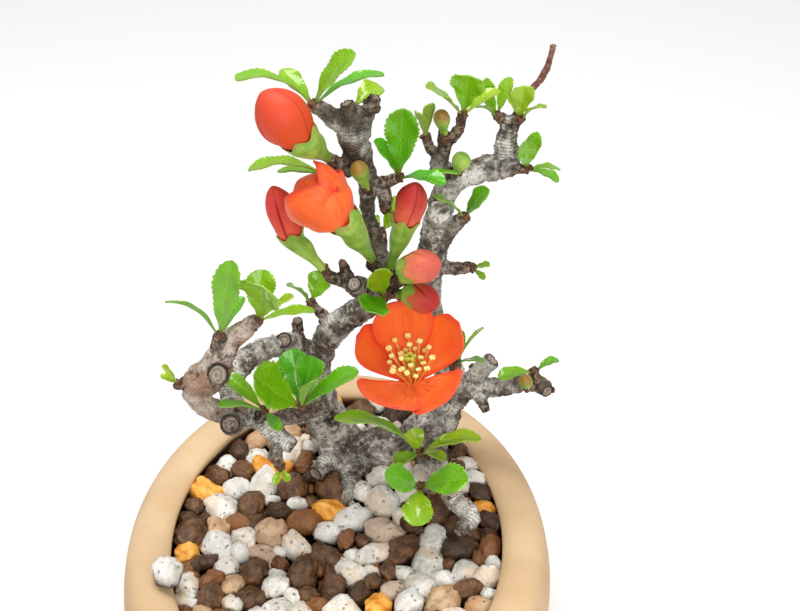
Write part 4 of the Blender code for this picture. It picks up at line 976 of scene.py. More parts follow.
def leaf_tree():
    """Toothed blades on points, whose attributes give each leaf its length, width, arch and directions."""
    graph, given, end = growth("leaf_blades", ["Tooth", "Fold", "Ripple"], ["Rows", "Columns", "Teeth"])
    grid = graph.make("GeometryNodeMeshGrid", {
        "Size X": 2.0, "Size Y": 1.0, "Vertices X": given["Columns"], "Vertices Y": given["Rows"]})
    x, y, _ = graph.split(graph.position())
    share = y + 0.5
    grid = graph.store(grid, "across", x)
    grid = graph.store(grid, "share", share)
    spot = graph.joined(graph.math("MULTIPLY_ADD", x, 0.5, 0.5), share)
    grid = graph.store(grid, "leaf_map", spot, "FLOAT2", "CORNER")
    blades = graph.realized(graph.instances(given["Geometry"], grid))
    t, s = graph.named("across"), graph.named("share")
    outline = graph.make("ShaderNodeMix", {
        0: graph.named("wedge"), 2: graph.curve(s, LEAF_OUTLINE), 3: graph.curve(s, WEDGE_OUTLINE)})
    off = graph.math("ABSOLUTE", t)
    tooth = 1.0 - graph.math("FRACT", s * given["Teeth"])
    cut = tooth * graph.math("POWER", off, 5.0) * (given["Tooth"] * s.span(0.18, 0.4))
    half = outline * graph.named("width") * 0.5 * (1.0 - cut)
    arch = s * (1.0 - s) * (graph.named("arch") * 4.0)
    wave = graph.math("SINE", s * 15.0 + graph.named("phase") * t) * (t * t) * (half * given["Ripple"])
    lift = arch + off * half * given["Fold"] + wave
    along, side, face, start = graph.ways("along", "side", "face", "start")
    spot = graph.scaled(along, s * graph.named("length"))
    for step in (graph.scaled(side, t * half), graph.scaled(face, lift), start):
        spot = graph.vector("ADD", spot, step)
    return end(graph.moved(blades, Position=spot))


def stamen_tree():
    """Threads, or the anthers at their ends, on points that give each its direction and length."""
    graph, given, end = growth("stamens", ["Thread", "Sac"], switches=["Anthers"])
    way, lean = graph.ways("way", "lean")
    length, size = graph.named("length"), graph.named("size")
    bow = graph.make("GeometryNodeCurveQuadraticBezier", {
        "Resolution": 6, "Start": (0, 0, 0), "Middle": THREAD_BOW, "End": (0, 0, 1)})
    section = graph.make("GeometryNodeCurvePrimitiveCircle", {"Resolution": 6, "Radius": given["Thread"]})
    thread = graph.make("GeometryNodeCurveToMesh", {
        "Curve": bow, "Profile Curve": section, "Fill Caps": True})
    threads = graph.instances(given["Geometry"], thread, Rotation=graph.facing(way),
                              Scale=graph.joined(1.0, 1.0, length))
    lobe = graph.make("GeometryNodeTransform", {
        "Geometry": graph.ball(given["Sac"], 3), "Scale": SAC_SHAPE})
    pair = graph.add("GeometryNodeJoinGeometry")
    for side in (-SAC_OFFSET, SAC_OFFSET):
        sac = graph.make("GeometryNodeTransform", {"Geometry": lobe, "Translation": (side * MM, 0, 0)})
        graph.tree.links.new(sac.socket, pair.inputs[0])
    ends = graph.moved(given["Geometry"], Offset=graph.scaled(way, length))
    anthers = graph.instances(ends, Field(graph, pair.outputs[0]), Scale=graph.joined(size, size, size),
                              Rotation=graph.facing(graph.vector("ADD", way, lean)))
    chosen = graph.make("GeometryNodeSwitch", {0: given["Anthers"], 1: threads, 2: anthers},
                        input_type="GEOMETRY")
    return end(graph.realized(chosen))


def grain_tree():
    """Broken stones on points: a ball cut by soft facets, stretched and turned, then dented all over."""
    graph, given, end = growth("grains", ["Facets", "Dents", "Roughness"], ["Detail"])
    ball = graph.store(graph.ball(1.0, given["Detail"]), "ball", graph.position(), "FLOAT_VECTOR")
    stones = graph.realized(graph.instances(given["Geometry"], ball))
    way, shift, stretch, turn, start = graph.ways("ball", "shift", "stretch", "turn", "start")
    radius = graph.named("radius")
    cells = graph.make("ShaderNodeTexVoronoi", {
        "Vector": graph.vector("ADD", way, shift), "Scale": given["Facets"],
        "Smoothness": FACET_SOFTNESS}, "Position", feature="SMOOTH_F1")
    facet = graph.vector("NORMALIZE", graph.vector("SUBTRACT", cells, shift))
    lean = graph.make("ShaderNodeVectorMath", {0: way, 1: facet}, "Value", operation="DOT_PRODUCT")
    reach = graph.math("DIVIDE", FACET_DEPTH, graph.math("MAXIMUM", lean, FACET_EDGE)) * radius
    spot = graph.vector("MULTIPLY", graph.scaled(way, reach), stretch)
    spot = graph.make("ShaderNodeVectorRotate", {"Vector": spot, "Rotation": turn}, rotation_type="EULER_XYZ")
    # low: how low each point lies on its grain, which the stone finishes darken as painted shade.
    stones = graph.store(stones, "low", (graph.split(spot)[2] / radius).span(0.32, -0.4))
    stones = graph.moved(stones, Position=graph.vector("ADD", spot, start))
    place = graph.scaled(graph.position(), 1 / MM)
    broad, fine = (graph.noise(0.35, 1, place) - 0.5), (graph.noise(1.1, 2, place) - 0.5)
    return end(graph.dented(stones, broad * given["Dents"] + fine * given["Roughness"]))


def points_with(name, places, **values):
    """An object of loose points, in metres, that carries the given attributes."""
    mesh = bpy.data.meshes.new(name)
    mesh.from_pydata([Vector(place) * MM for place in places], [], [])
    for label, entries in values.items():
        kind, field = ("FLOAT_VECTOR", "vector") if isinstance(entries[0], Vector) else ("FLOAT", "value")
        attribute = mesh.attributes.new(label, kind, "POINT")
        attribute.data.foreach_set(field, np.array(entries, float).ravel())
    return link(name, mesh)


# Pot

def oval_row(offset, z):
    """Points round the pot, at an offset out from its opening."""
    turns = [math.tau * i / POT_SIDES for i in range(POT_SIDES)]
    return [((OPENING_X + offset) * math.cos(a), (OPENING_Y + offset) * math.sin(a), z) for a in turns]


def oval_rows(profile):
    """Rows of points round the pot from a profile of (offset, height)."""
    return [[Vector(point) for point in oval_row(offset, z)] for offset, z in profile]


def build_pot():
    """Thick wall with a soft, rounded rim, standing on a ring foot with two drains and a notch."""
    pot = skinned("pot_body", oval_rows(FOOT_RECESS + through(POT_WALL, WALL_STEPS)), tan_ceramic())
    for side in (-1, 1):
        bm = bmesh.new()
        middle = Matrix.Translation((0, side * DRAIN_Y, FLOOR_TOP / 2))
        bmesh.ops.create_cone(bm, cap_ends=True, segments=DRAIN_SIDES, radius1=DRAIN_RADIUS,
                              radius2=DRAIN_RADIUS, depth=3 * FLOOR_TOP, matrix=middle)
        cut_away(pot, modelled("drain", bm))
    bm = bmesh.new()
    size = Matrix.Diagonal((4 * OPENING_X, NOTCH_WIDTH, 2 * NOTCH_HEIGHT, 1))
    bmesh.ops.create_cube(bm, size=1, matrix=size)
    cut_away(pot, modelled("notch", bm))
    smooth(pot.data, sharp_degrees=38)
    take_place(pot, "tan_ceramic", "pot")


def dress_drain_meshes():
    """The two drain meshes keep their CAD solids and get a material."""
    plastic = black_plastic()
    for label in ("front", "back"):
        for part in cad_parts[f"drain_mesh_{label}"].material_slots:
            part.material = plastic


# Soil

def bed_height(x, y):
    """Height of the grains' middles: level at the rim, mounded round the tree's foot."""
    reach = math.hypot(x - TREE_FOOT.x, y - TREE_FOOT.y) / MOUND_REACH
    return GRAIN_LEVEL + MOUND_HEIGHT * max(0.0, 1 - reach * reach)


def build_bed():
    """The dark bed under the grains: it fills the pot, and its top follows their mound."""
    rows = oval_rows([(offset - GAP, z) for offset, z in BED_WALL])
    for shrink in BED_RINGS:
        row = [(x * shrink, y * shrink) for x, y, _ in oval_row(0, 0)]
        rows.append([Vector((x, y, bed_height(x, y) - BED_DEPTH)) for x, y in row])
    take_place(skinned("soil_bed", rows, dark_bed(), sharp_degrees=50), "soil_grains", "soil")


def thrown_grains(dice):
    """Where grains start: the spotted ones first, then others at random. Each has a kind and a radius."""
    grains = [(Vector(spot), kind, dice.uniform(*LARGE_GRAIN)) for kind, spots in KIND_SPOTS.items()
              for spot in spots]
    kinds, shares = zip(*KIND_SHARES)
    while len(grains) < GRAINS:
        turn, reach = dice.uniform(0, math.tau), math.sqrt(dice.random())
        spot = Vector((OPENING_X * reach * math.cos(turn), OPENING_Y * reach * math.sin(turn)))
        size = SMALL_GRAIN if GRAINS - len(grains) <= SMALL_GRAINS else LARGE_GRAIN
        grains.append((spot, dice.choices(kinds, shares)[0], dice.uniform(*size)))
    return grains


def pushed(spots, gaps, far, room):
    """The spots, each moved out of the room that it shares with its neighbours."""
    overlap = np.clip(room - far, 0, None)
    return spots + PUSH * (gaps / far[..., None] * overlap[..., None]).sum(axis=1)


def settled_grains(dice):
    """Let the thrown grains push each other apart inside the pot and away from the wood."""
    grains = thrown_grains(dice)
    radii = np.array([radius for _, _, radius in grains])
    spots = np.array([tuple(spot) for spot, _, _ in grains])
    rise = np.array([dice.uniform(*GRAIN_RISE) for _ in grains])
    posts = np.array([(x, y, r) for limb in LIMBS.values() for x, y, z, r in limb if z < ROOTS_TOP])
    lift = rise[:, None] - rise[None]
    room = GRAIN_ROOM * (radii[:, None] + radii[None])
    post_room = POST_ROOM * (radii[:, None] + posts[None, :, 2])
    inner = np.stack((OPENING_X + 0.6 - radii, OPENING_Y + 0.6 - radii), axis=1)
    for _ in range(SETTLE_STEPS):
        gaps = spots[:, None] - spots[None]
        far = np.sqrt((gaps ** 2).sum(axis=2) + lift ** 2) + FAR_AWAY * np.eye(len(radii))
        spots = pushed(spots, gaps, far, room)
        gaps = spots[:, None] - posts[None, :, :2]
        spots = pushed(spots, gaps, np.linalg.norm(gaps, axis=2) + 0.01, post_room)
        reach = np.linalg.norm(spots / inner, axis=1)
        spots = spots / np.clip(reach, 1, None)[:, None]
    return [(Vector((x, y, bed_height(x, y) + 1.4 - 0.25 * radius + up)), kind, radius)
            for (x, y), up, (_, kind, radius) in zip(spots, rise, grains)]


def drawn(dice, count, spans):
    """Random vectors, each number drawn from its own span."""
    return [Vector([dice.uniform(*span) for span in spans]) for _ in range(count)]


def grow_grains(name, grains, tree, finish, rough, dice):
    """One piece of grains, each (place, radius), with its own turn, stretch, facets and tint."""
    places = [place for place, _ in grains]
    count = len(grains)
    heap = points_with(
        name, places, start=[place * MM for place in places], radius=[radius * MM for _, radius in grains],
        turn=drawn(dice, count, GRAIN_TURN), stretch=drawn(dice, count, GRAIN_STRETCH),
        shift=drawn(dice, count, GRAIN_SHIFT), tint=[dice.random() for _ in range(count)])
    return grow(heap, tree, finish, Roughness=rough * MM, **GRAIN_SIZES)


def soil_slot(kind):
    return "white_pumice" if kind == "white" else "soil_grains"


def build_grains(finishes):
    """The settled grains, one piece for each kind, and the white one that lies on the rim."""
    tree = grain_tree()
    dice = random.Random(7)
    settled = settled_grains(dice)
    for kind, finish in finishes.items():
        grains = [(place, radius) for place, its_kind, radius in settled if its_kind == kind]
        heap = grow_grains(f"grains_{kind}", grains, tree, finish, GRAIN_ROUGHNESS[kind], dice)
        take_place(heap, soil_slot(kind), "soil")
    stone = grow_grains("rim_stone", [RIM_GRAIN], tree, finishes["white"], RIM_ROUGHNESS, dice)
    take_place(stone, "white_pumice", "rim_grain")


def bed_surface(name):
    """The surface over which grit is strewn: the bed's top, inside the opening."""
    bm = bmesh.new()
    share = bm.verts.layers.float.new("share")
    bmesh.ops.create_grid(bm, x_segments=60, y_segments=80, size=1)
    for vertex in bm.verts:
        vertex.co.x *= OPENING_X
        vertex.co.y *= OPENING_Y
        vertex.co.z = bed_height(vertex.co.x, vertex.co.y) + GRIT_LEVEL
        vertex[share] = 1.0
    outside = [v for v in bm.verts if (v.co.x / (OPENING_X - 2)) ** 2 + (v.co.y / (OPENING_Y - 2)) ** 2 > 1]
    bmesh.ops.delete(bm, geom=outside, context="VERTS")
    return modelled(name, bm)


def build_grit(finishes, tree):
    """Fine grit between the grains, one piece for each kind."""
    for kind, density, seed in GRIT:
        grit = bed_surface(f"grit_{kind}")
        grow(grit, tree, finishes[kind], Density=density, Seed=seed, **GRIT_SIZES)
        take_place(grit, soil_slot(kind), "soil")


# Wood

def limb_tubes():
    """Every limb as a round tube along its route."""
    curve = bpy.data.curves.new("limbs", "CURVE")
    curve.dimensions = "3D"
    curve.bevel_depth = MM
    curve.bevel_resolution = 4
    curve.resolution_u = 8
    curve.use_fill_caps = True
    for limb in LIMBS.values():
        spline = curve.splines.new("BEZIER")
        spline.bezier_points.add(len(limb) - 1)
        for knot, (x, y, z, radius) in zip(spline.bezier_points, limb):
            knot.co = Vector((x, y, z)) * MM
            knot.radius = radius
            knot.handle_left_type = knot.handle_right_type = "AUTO"
    return put("limbs", curve)


def fused_limbs():
    """All limbs as one grown skin: tubes remeshed together and smoothed."""
    tubes = limb_tubes()
    mesh = made_mesh(tubes)
    discard(tubes)
    bm = bmesh.new()
    bm.from_mesh(mesh)
    bmesh.ops.remove_doubles(bm, verts=bm.verts, dist=0.01 * MM)
    bm.to_mesh(mesh)
    bm.free()
    wood = link("wood_bark", mesh)
    skin = wood.modifiers.new("skin", "REMESH")
    skin.mode = "VOXEL"
    skin.voxel_size = WOOD_VOXEL * MM
    relax = wood.modifiers.new("relax", "SMOOTH")
    relax.factor = 0.5
    relax.iterations = 3
    return settle(wood)


def limb_samples():
    """Points along every limb, in millimetres: place, radius, way gone, direction, warmth and brownness."""
    samples = []
    for number, (name, limb) in enumerate(LIMBS.items()):
        way = FIRST_WAY * number
        run = through([tuple(map(float, knot)) for knot in limb], 10)
        for before, spot in zip(run, run[1:] + run[-1:]):
            step = math.dist(before[:3], spot[:3])
            if step:  # the last point keeps the heading before it
                heading = [(b - a) / step for a, b in zip(before[:3], spot[:3])]
            samples.append([*before, way, *heading, float(name in WARM_LIMBS), brownness(name, before[2])])
            way += step
    return np.array(samples)


def brownness(limb, height):
    """How brown a limb's bark is at a height, from 0 to 1."""
    return min(1.0, max(0.0, (height - BROWN_ABOVE[limb]) / BROWN_FADE)) if limb in BROWN_ABOVE else 0.0


def mesh_points(mesh, what="vertices", field="co"):
    """The mesh's points, or their normals, as an array."""
    numbers = np.empty(3 * len(mesh.vertices), np.float32)
    getattr(mesh, what).foreach_get(field, numbers)
    return numbers.reshape(-1, 3)


def mark(mesh, **values):
    """Give the mesh's points named numbers."""
    for name, numbers in values.items():
        attribute = mesh.attributes.new(name, "FLOAT", "POINT")
        attribute.data.foreach_set("value", np.asarray(numbers, np.float32))


def mark_limbs(mesh):
    """Each point of the bark learns about the limb that it is on.

    Gives the points, the girth of their limbs, how far along they lie and how warm their bark is.
    """
    points = mesh_points(mesh) / MM
    samples = limb_samples()
    nearest = np.empty(len(points), int)
    for start in range(0, len(points), CHUNK):
        some = points[start:start + CHUNK, None, :]
        depth = np.linalg.norm(some - samples[:, :3], axis=2) - samples[:, 3]
        nearest[start:start + CHUNK] = depth.argmin(axis=1)
    limb = samples[nearest]
    girth, warm = limb[:, 3], limb[:, 8]
    along = limb[:, 4] + ((points - limb[:, :3]) * limb[:, 5:8]).sum(axis=1)
    mark(mesh, girth=girth, along=along, warm=warm, brown=limb[:, 9])
    return points, girth, along, warm


def shape_bark(wood):
    """Push lumps, furrows, rings and pruning cuts into the smooth skin."""
    mesh = wood.data
    points, girth, along, warm = mark_limbs(mesh)
    normals = mesh_points(mesh, "vertex_normals", "vector")
    relief = np.array([sum(depth * noise.noise(point * grain) for depth, grain in BARK_LUMPS)
                       for point in map(Vector, points)])
    spur = np.clip((2.1 - girth) / 0.8, 0, 1) * np.clip((girth - 0.8) / 0.5, 0.2, 1)
    rings = 0.09 * np.sin(2.9 * along + 11 * relief) * spur
    folds = 0.035 * np.sin(4.0 * along + 12 * relief) * np.clip((girth - 1.6) / 0.6, 0, 1) * (1 - 0.6 * warm)
    relief = relief * np.clip(girth / 2.2, 0.55, 1.3) + rings + folds
    # hollow and under: where the bark finish paints shade in hollows and on undersides.
    mark(mesh, hollow=-relief / 0.3, under=np.clip(0.2 - normals[:, 2], 0, 1))
    points = points + normals * relief[:, None]
    reach, paleness = np.full(len(points), OFF_FACE), np.zeros(len(points))
    for limb, pale in [(LIMBS[name], pale) for name, pale in CUTS.items()] + [KNOB_SCAR]:
        points, share = press_cut(points, limb)
        reach, paleness = np.minimum(reach, share), np.where(share < OFF_FACE, pale, paleness)
    mark(mesh, cut_reach=reach, cut_pale=paleness)
    mesh.vertices.foreach_set("co", (points * MM).astype(np.float32).ravel())
    mesh.update()


def press_cut(points, limb):
    """Flatten the end of a limb, sink its heart a little and raise a collar of bark round it.

    Also gives how far out on the cut's face each point lies: 1 at the limb's radius, 2 off the face.
    """
    end, before, radius = np.array(limb[-1][:3], float), np.array(limb[-2][:3], float), limb[-1][3]
    axis = (end - before) / np.linalg.norm(end - before)
    offset = points - end
    height = offset @ axis
    out = offset - height[:, None] * axis
    share = np.linalg.norm(out, axis=1) / radius
    face = (height > -0.3 * radius) & (height < radius) & (share < CUT_FACE)
    collar = np.where(share < CUT_COLLAR, 0.12 * radius, -0.1 * radius)
    level = np.where(share < CUT_HEART, -0.12 * radius, collar)
    points = points + np.where(face, level - height, 0.0)[:, None] * axis
    return points, np.where(face, share, OFF_FACE)


def build_wood(tree):
    """The whole of the wood as one piece of bark, and the scales on it."""
    wood = fused_limbs()
    shape_bark(wood)
    clothe(wood.data, bark())
    wood.data.shade_smooth()
    take_place(wood, "grey_bark", "wood")
    build_bark_scales(wood, tree)


def build_bark_scales(wood, tree):
    """Small scales and dormant buds, thick on the spurs and few on the trunks."""
    scales = link("bark_scales", wood.data.copy())
    girth = np.empty(len(scales.data.vertices), np.float32)
    scales.data.attributes["girth"].data.foreach_get("value", girth)
    height = mesh_points(scales.data)[:, 2] / MM
    mark(scales.data, share=np.clip((1.9 - girth) / 0.6, 0.05, 1.0) * (height > 44) * (girth > 1.15))
    take_place(grow(scales, tree, bud_scale(), **SCALE_SIZES), "grey_bark", "wood")


# Leaves

def limb_end(limb):
    return Vector(LIMBS[limb][-1][:3])


def build_sprays():
    """One piece for each spray, grown from the same tips and widths as its CAD solid."""
    tree = leaf_tree()
    top, under = leaf_top(), leaf_under()
    dice = random.Random(5)
    for name, (limb, yellow, leaves) in SPRAYS.items():
        spray = spray_points(name, limb_end(limb), yellow, leaves, dice)
        longest = max((Vector(leaf[0]) - limb_end(limb)).length for leaf in leaves)
        teeth = FEW_TEETH if longest < SHORT_LEAF else MANY_TEETH
        grow(spray, tree, top, Rows=4 * teeth + 1, Teeth=teeth, **LEAF_SIZES)
        thicken(spray, LEAF_THICKNESS, under)
        take_place(spray, "leaf_green", name)


def spray_points(name, foot, yellow, leaves, dice):
    """A point for each leaf of a spray, with all that its blade needs to know."""
    rows = []
    for number, (tip, width, facing, arch) in enumerate(leaves):
        start = foot + (Vector(tip) - foot).normalized() * (0.6 * FOOT_RADIUS)
        along = Vector(tip) - start
        length = along.length
        along.normalize()
        face = spoke(TO_VIEWER, TO_SKY, math.radians(facing))
        face = (face - along * face.dot(along)).normalized()
        tint = min(1.0, max(0.0, yellow + dice.uniform(-0.3, 0.3)))
        rows.append((start * MM, along, along.cross(face), face, length * MM, width * MM, arch * MM, tint,
                     dice.uniform(1, 4), float((name, number) in WEDGES)))
    labels = ("start", "along", "side", "face", "length", "width", "arch", "tint", "phase", "wedge")
    return points_with(f"{name}_blades", [foot] * len(rows), **dict(zip(labels, zip(*rows))))


def thicken(piece, thickness, under):
    """Give blades their thickness; the lower side and the edge take the second material."""
    piece.data.materials.append(under)
    wall = piece.modifiers.new("thickness", "SOLIDIFY")
    wall.thickness = thickness * MM
    wall.offset = -1
    wall.material_offset = wall.material_offset_rim = 1
    smooth(settle(piece).data, sharp_degrees=60)


def build_bud_scales():
    """The brown scales from which sprays and blooms grow, one knot on the end of each carrying limb."""
    limbs = [entry[0] for table in (SPRAYS, BUDS, GREEN_BUDS) for entry in table.values()]
    bm = bmesh.new()
    for limb in limbs + [OPEN_FLOWER[0], HALF_FLOWER[0]]:
        foot = limb_end(limb)
        knot = bmesh.ops.create_icosphere(bm, subdivisions=3, radius=0.98 * FOOT_RADIUS,
                                          matrix=Matrix.Translation(foot))["verts"]
        for vertex in knot:
            vertex.co += (vertex.co - foot) * 0.55 * noise.noise(1.3 * vertex.co)
    take_place(modelled("spur_knots", bm, bud_scale()), "grey_bark", "wood")


# Blooms

def axes_of(axis):
    """The axis and two directions square to it, the first as near the sky as it can be."""
    axis = axis.normalized()
    first = (TO_SKY - axis * TO_SKY.dot(axis)).normalized()
    return axis, first, axis.cross(first)


def spoke(first, second, angle):
    """The direction at an angle from the first one towards the second."""
    return first * math.cos(angle) + second * math.sin(angle)


def bent_sheet(bm, rows, columns, shape):
    """A grid of quads bent by shape(across, share), with its map."""
    chart = petal_chart(bm)
    spots = [[(2 * i / columns - 1, j / rows) for i in range(columns + 1)] for j in range(rows + 1)]
    verts = [[bm.verts.new(shape(t, s)) for t, s in row] for row in spots]
    for j in range(rows):
        for i in range(columns):
            corners = ((j, i), (j, i + 1), (j + 1, i + 1), (j + 1, i))
            mapped_face(bm, chart, [verts[a][b] for a, b in corners],
                        [((spots[a][b][0] + 1) / 2, spots[a][b][1]) for a, b in corners])


def petal_shape(centre, axis, entry, hollow, phase):
    """How one cupped petal on a narrow claw bends from its claw's angle to its tip's."""
    axis, first, second = axes_of(axis)
    turn, length, width, begin, end, sharp = entry
    turn, begin, end = math.radians(turn), math.radians(begin), math.radians(end)
    out = spoke(first, second, turn)
    side = axis.cross(out)

    def shape(t, s):
        bend = begin + (end - begin) * s
        reach = 0.9 + length * (math.cos(begin) - math.cos(bend)) / (end - begin)
        height = length * (math.sin(bend) - math.sin(begin)) / (end - begin)
        half = 0.5 * width * math.sin(math.pi * min(0.97, 0.04 + 0.94 * s) ** CLAW_POWER) ** sharp
        inward = axis * math.sin(bend) - out * math.cos(bend)
        tilt = 0.35 * t * min(1.0, 3 * s)
        wave = RUFFLE * math.sin(9 * s + phase + 2 * t) * t * t * s
        notch = 0.5 * (1 - abs(t)) ** 2 * max(0.0, s - 0.8) / 0.2
        return (centre + out * reach + axis * height + side * (t * half)
                + inward * (hollow * t * t * half + tilt + wave)
                - (axis * math.cos(bend) + out * math.sin(bend)) * notch * 0.6)

    return shape


def build_petals(name, centre, axis, petals, hollow, finish):
    """Open petals as one piece of thin blades, in the place of the flower's CAD petals."""
    bm = bmesh.new()
    for number, entry in enumerate(petals):
        bent_sheet(bm, PETAL_ROWS, PETAL_COLUMNS, petal_shape(centre, axis, entry, hollow, 1.7 * number))
    piece = modelled(f"{name}_bloom", bm, finish)
    thicken(piece, PETAL_THICKNESS, finish)
    take_place(piece, "petal_orange", f"{name}_petals")


def cup_rows(foot, rim, axis, radius, lobe):
    """Rings of the green cup: a stalk that widens to five lobes and turns in to a thin wall."""
    stalk = rim - foot
    edge = rim + axis * (0.6 * lobe)
    keys = [(foot - stalk.normalized() * 0.9, stalk, 0.8, 0.0), (foot, stalk, 1.05, 0.0),
            (foot + stalk * 0.3, stalk, 0.42 * radius + 0.1, 0.0),
            (foot + stalk * 0.62, stalk + axis * stalk.length, 0.85 * radius, 0.0),
            (rim - axis * 1.2, axis, radius, 0.0), (edge, axis, radius + 0.6, 0.5 * lobe),
            (edge, axis, radius + 0.3, 0.5 * lobe), (rim - axis * CUP_DEPTH, axis, radius - 0.6, 0.0)]
    flat = [(*centre, *way.normalized(), size, lift) for centre, way, size, lift in keys]
    rows = []
    for x, y, z, a, b, c, size, lift in through(flat, 6):
        way, first, second = axes_of(Vector((a, b, c)))
        row = []
        for i in range(CUP_SIDES):
            angle = math.tau * i / CUP_SIDES
            rise = lift * 0.9 * math.cos(5 * angle)
            dent = 1 - 0.05 * math.cos(5 * angle + math.pi) * min(1.0, lift + 0.3)
            row.append(Vector((x, y, z)) + way * rise + spoke(first, second, angle) * size * dent)
        rows.append(row)
    return rows


def build_cup(name, limb, rim, axis, radius, lobe, finish):
    """The green cup of a bloom, from its limb's end to its rim."""
    rows = cup_rows(limb_end(limb), rim, axis, radius, lobe)
    take_place(skinned(f"{name}_cup", rows, finish), "calyx_green", f"{name}_calyx")


def rolled_rows(start, axis, length, keys, relief, twist, turn=0.0):
    """Rings of three petals that are still rolled up: each overlaps the next along a twisted edge."""
    axis, first, second = axes_of(axis)
    rows = []
    for s, size in through(keys, 5):
        row = []
        for i in range(BUD_SIDES):
            share = (i * 3 / BUD_SIDES) % 1.0
            fade = math.sin(math.pi * min(1.0, 0.15 + s)) ** 0.5
            reach = size * (1 + relief * (share ** 1.5 - 0.45) * fade)
            spin = math.tau * i / BUD_SIDES + turn + twist * s
            row.append(start + axis * (length * s) + spoke(first, second, spin) * reach)
        rows.append(row)
    return rows


def bud_keys(radius, mouth):
    """Radii along a bud whose foot stands in a cup with the given mouth."""
    foot = [(0.0, mouth - 1.0), (0.04, mouth - 0.4), (0.11, mouth + 0.3)]
    return foot + [(share, size * radius) for share, size in BUD_PROFILE]


def build_buds(finishes, green):
    """The rolled petals and the green cup of every coloured bud."""
    for name, (limb, rim, tip, radius) in BUDS.items():
        axis = (tip - rim).normalized()
        cup_radius = 0.5 * radius + 0.9
        start = rim - axis * (CUP_DEPTH - GAP)
        rows = rolled_rows(start, axis, (tip - start).length, bud_keys(radius, cup_radius), *BUD_ROLLS[name])
        rolled = skinned(f"{name}_rolled", rows, finishes[name], sharp_degrees=40)
        take_place(rolled, "bud_red", f"{name}_petals")
        build_cup(name, limb, rim, axis, cup_radius, BUD_LOBES[name], green)


def build_green_buds(green, blushed):
    """Small buds that are still shut in the green cup, on a narrower foot."""
    for name, (limb, tip, radius) in GREEN_BUDS.items():
        foot = limb_end(limb)
        keys = [(share, size * radius) for share, size in GREEN_BUD_PROFILE]
        rows = rolled_rows(foot, tip - foot, (tip - foot).length, keys, 0.12, 0.9)
        finish = blushed if name in BLUSHED_BUDS else green
        take_place(skinned(f"{name}_skin", rows, finish, sharp_degrees=50), "calyx_green", name)


def build_open_flower(orange, green):
    """The open flower: five petals, the cup, and a bunch of stamens round the styles."""
    limb, rim, axis, radius = OPEN_FLOWER
    axis = axis.normalized()
    build_petals("open_flower", rim + axis * (SEAT_TOP - 0.3), axis, OPEN_PETALS, OPEN_HOLLOW, orange)
    build_cup("open_flower", limb, rim, axis, radius, 0.7, green)
    build_stamens(rim + axis * (SEAT_TOP + 0.4), axis)


def build_threads(tree, label, ends, finish, places, thread, sac, **values):
    """Threads, or with ends the sacs or knobs at their ends, on points with the given directions."""
    piece = points_with(f"open_flower_{label}", places, **values)
    grow(piece, tree, finish, Anthers=ends, Thread=thread * MM, Sac=sac * MM)
    take_place(piece, "stamen_yellow", "open_flower_stamens")


def build_stamens(foot, axis):
    """A loose bunch of threads with cream anthers round a green middle."""
    tree = stamen_tree()
    _, first, _ = axes_of(axis)
    axis, first, second = axes_of(axis + first * STAMEN_LEAN)
    dice = random.Random(9)
    rows = []
    for i in range(STAMEN_COUNT):
        spread = 0.12 + 0.5 * math.sqrt(i / STAMEN_COUNT)
        way = (axis + spoke(first, second, STAMEN_TURN * i) * spread).normalized()
        length = MM * (STAMEN_LENGTH + 1.5 * math.cos(5.1 * i))
        rows.append((foot + (way - axis) * 1.5 - axis * 0.6, way, length, dice.uniform(0.85, 1.2),
                     Vector([dice.uniform(-0.7, 0.7) for _ in range(3)])))
    places, *columns = zip(*rows)
    values = dict(zip(("way", "length", "size", "lean"), columns))
    thread = stamen_finish("filament_orange", tone(236, 164, 74), tone(246, 196, 110), 0.45)
    anther = stamen_finish("stamen_yellow", tone(248, 220, 132), tone(252, 238, 178), 0.7)
    build_threads(tree, "filaments", False, thread, places, 0.26, 0.6, **values)
    build_threads(tree, "anthers", True, anther, places, 0.26, 0.6, **values)
    build_styles(foot, axis, tree)


def build_styles(foot, axis, tree):
    """Five yellow-green styles with knobbed ends in the middle of the bunch."""
    axis, first, second = axes_of(axis)
    turns = [math.tau * i / STYLE_COUNT for i in range(STYLE_COUNT)]
    ways = [(axis + spoke(first, second, turn) * 0.07).normalized() for turn in turns]
    places = [foot + (way - axis) * 5 - axis * 0.6 for way in ways]
    finish = stamen_finish("style_green", tone(196, 200, 70), tone(226, 222, 110), 0.4)
    values = {"way": ways, "length": [STYLE_LENGTH * MM] * STYLE_COUNT, "size": [1.0] * STYLE_COUNT,
              "lean": ways}
    for label, knobs in (("styles", False), ("stigmas", True)):
        build_threads(tree, label, knobs, finish, places, 0.36, 0.5, **values)


def build_half_flower(orange, green):
    """The half-open flower: petals still rolled round its heart, three that stand off, and the cup."""
    limb, rim, axis, radius = HALF_FLOWER
    axis = axis.normalized()
    start = rim - axis * (CUP_DEPTH - GAP)
    rows = rolled_rows(start, axis, HALF_HEART_LENGTH, bud_keys(HALF_HEART_RADIUS, radius), 0.1, 1.3)
    heart = skinned("half_flower_heart", rows, orange, sharp_degrees=40)
    take_place(heart, "petal_orange", "half_flower_petals")
    build_petals("half_flower", rim + axis * 1.0, axis, HALF_PETALS, HALF_HOLLOW, orange)
    build_cup("half_flower", limb, rim, axis, radius, 1.5, green)


# Stage

def build_stage():
    """The pale floor under the pot."""
    bm = bmesh.new()
    bmesh.ops.create_grid(bm, x_segments=1, y_segments=1, size=FLOOR_REACH)
    paper = Finish("pale_floor", 0.85)
    paper.feed("Base Color", paper.blend(paper.noise(0.002, 2), (0.89, 0.89, 0.89, 1), (0.91, 0.91, 0.91, 1)))
    floor = modelled("floor", bm, paper.material)


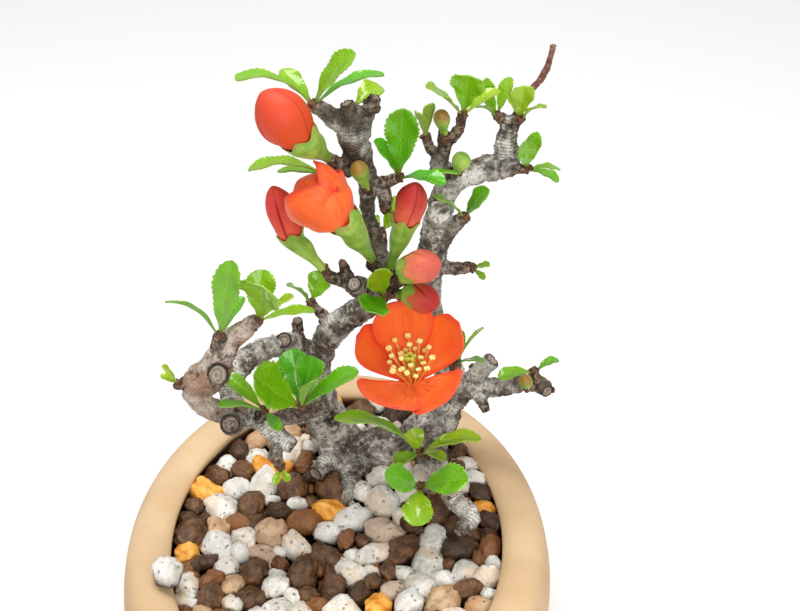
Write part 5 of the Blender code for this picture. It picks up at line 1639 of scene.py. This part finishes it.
def add_softbox(name, place, size, watts):
    """A round soft light that faces the plant."""
    light = bpy.data.lights.new(name, "AREA")
    light.shape = "DISK"
    light.size = size * MM
    light.energy = watts
    lamp = put(name, light)
    lamp.location = Vector(place) * MM
    lamp.rotation_euler = (LIGHT_TARGET - Vector(place)).to_track_quat("-Z", "Y").to_euler()


def light_stage():
    scene = bpy.context.scene
    scene.world = bpy.data.worlds.new("soft_white")
    scene.world.use_nodes = True
    glow = scene.world.node_tree.nodes["Background"].inputs
    glow["Color"].default_value = (1, 1, 1, 1)
    glow["Strength"].default_value = WORLD_STRENGTH
    for softbox in SOFTBOXES:
        add_softbox(*softbox)
    scene.view_settings.view_transform = "Standard"
    scene.view_settings.look = "Medium High Contrast"


def place_camera():
    camera = bpy.data.cameras.new("camera")
    camera.sensor_width = SENSOR_WIDTH
    camera.lens = CAMERA_LENS
    camera.clip_start = 0.01
    holder = put("camera", camera)
    holder.location = CAMERA_PLACE * MM
    holder.rotation_euler = (math.radians(90 - CAMERA_PITCH), 0, 0)
    bpy.context.scene.camera = holder


def main():
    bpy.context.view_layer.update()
    place_camera()
    light_stage()
    build_stage()
    build_pot()
    dress_drain_meshes()
    finishes = {
        "white": pumice("white_pumice", tone(252, 250, 244), tone(214, 209, 198), tone(236, 206, 170)),
        "brown": wet_clay_grain(),
        "tan": pumice("tan_pumice", tone(224, 196, 160), tone(178, 146, 112), tone(206, 150, 104)),
        "amber": amber_stone(),
    }
    build_bed()
    build_grains(finishes)
    pebbles = pebble_tree()
    build_grit(finishes, pebbles)
    build_wood(pebbles)
    build_sprays()
    build_bud_scales()
    orange = petal_finish("petal_orange", tone(255, 124, 42), tone(246, 80, 46), tone(244, 84, 34), 0.6)
    red = bud_finish("bud_red", tone(210, 82, 30), tone(208, 80, 54), 0.15)
    rose = bud_finish("bud_rose", tone(228, 104, 76), tone(214, 76, 68), 0.85)
    wine = bud_finish("bud_wine", tone(216, 108, 78), tone(184, 60, 56), 0.85)
    pink = bud_finish("bud_pink", tone(232, 146, 110), tone(208, 104, 86), 0.35)
    green = calyx_green("calyx_green", 0.86)
    build_buds({"bud_a": red, "bud_b": rose, "bud_c": wine, "bud_d": pink, "bud_e": wine}, green)
    build_green_buds(calyx_green("green_bud", 1.16), calyx_green("blushed_bud", 0.8))
    build_open_flower(orange, green)
    # Its darker rim colour is partly painted shade between the half-open flower's petals.
    deep_orange = petal_finish("half_petal_orange", tone(252, 110, 36), tone(224, 54, 42), tone(232, 66, 34),
                               0.1)
    build_half_flower(deep_orange, green)


main()
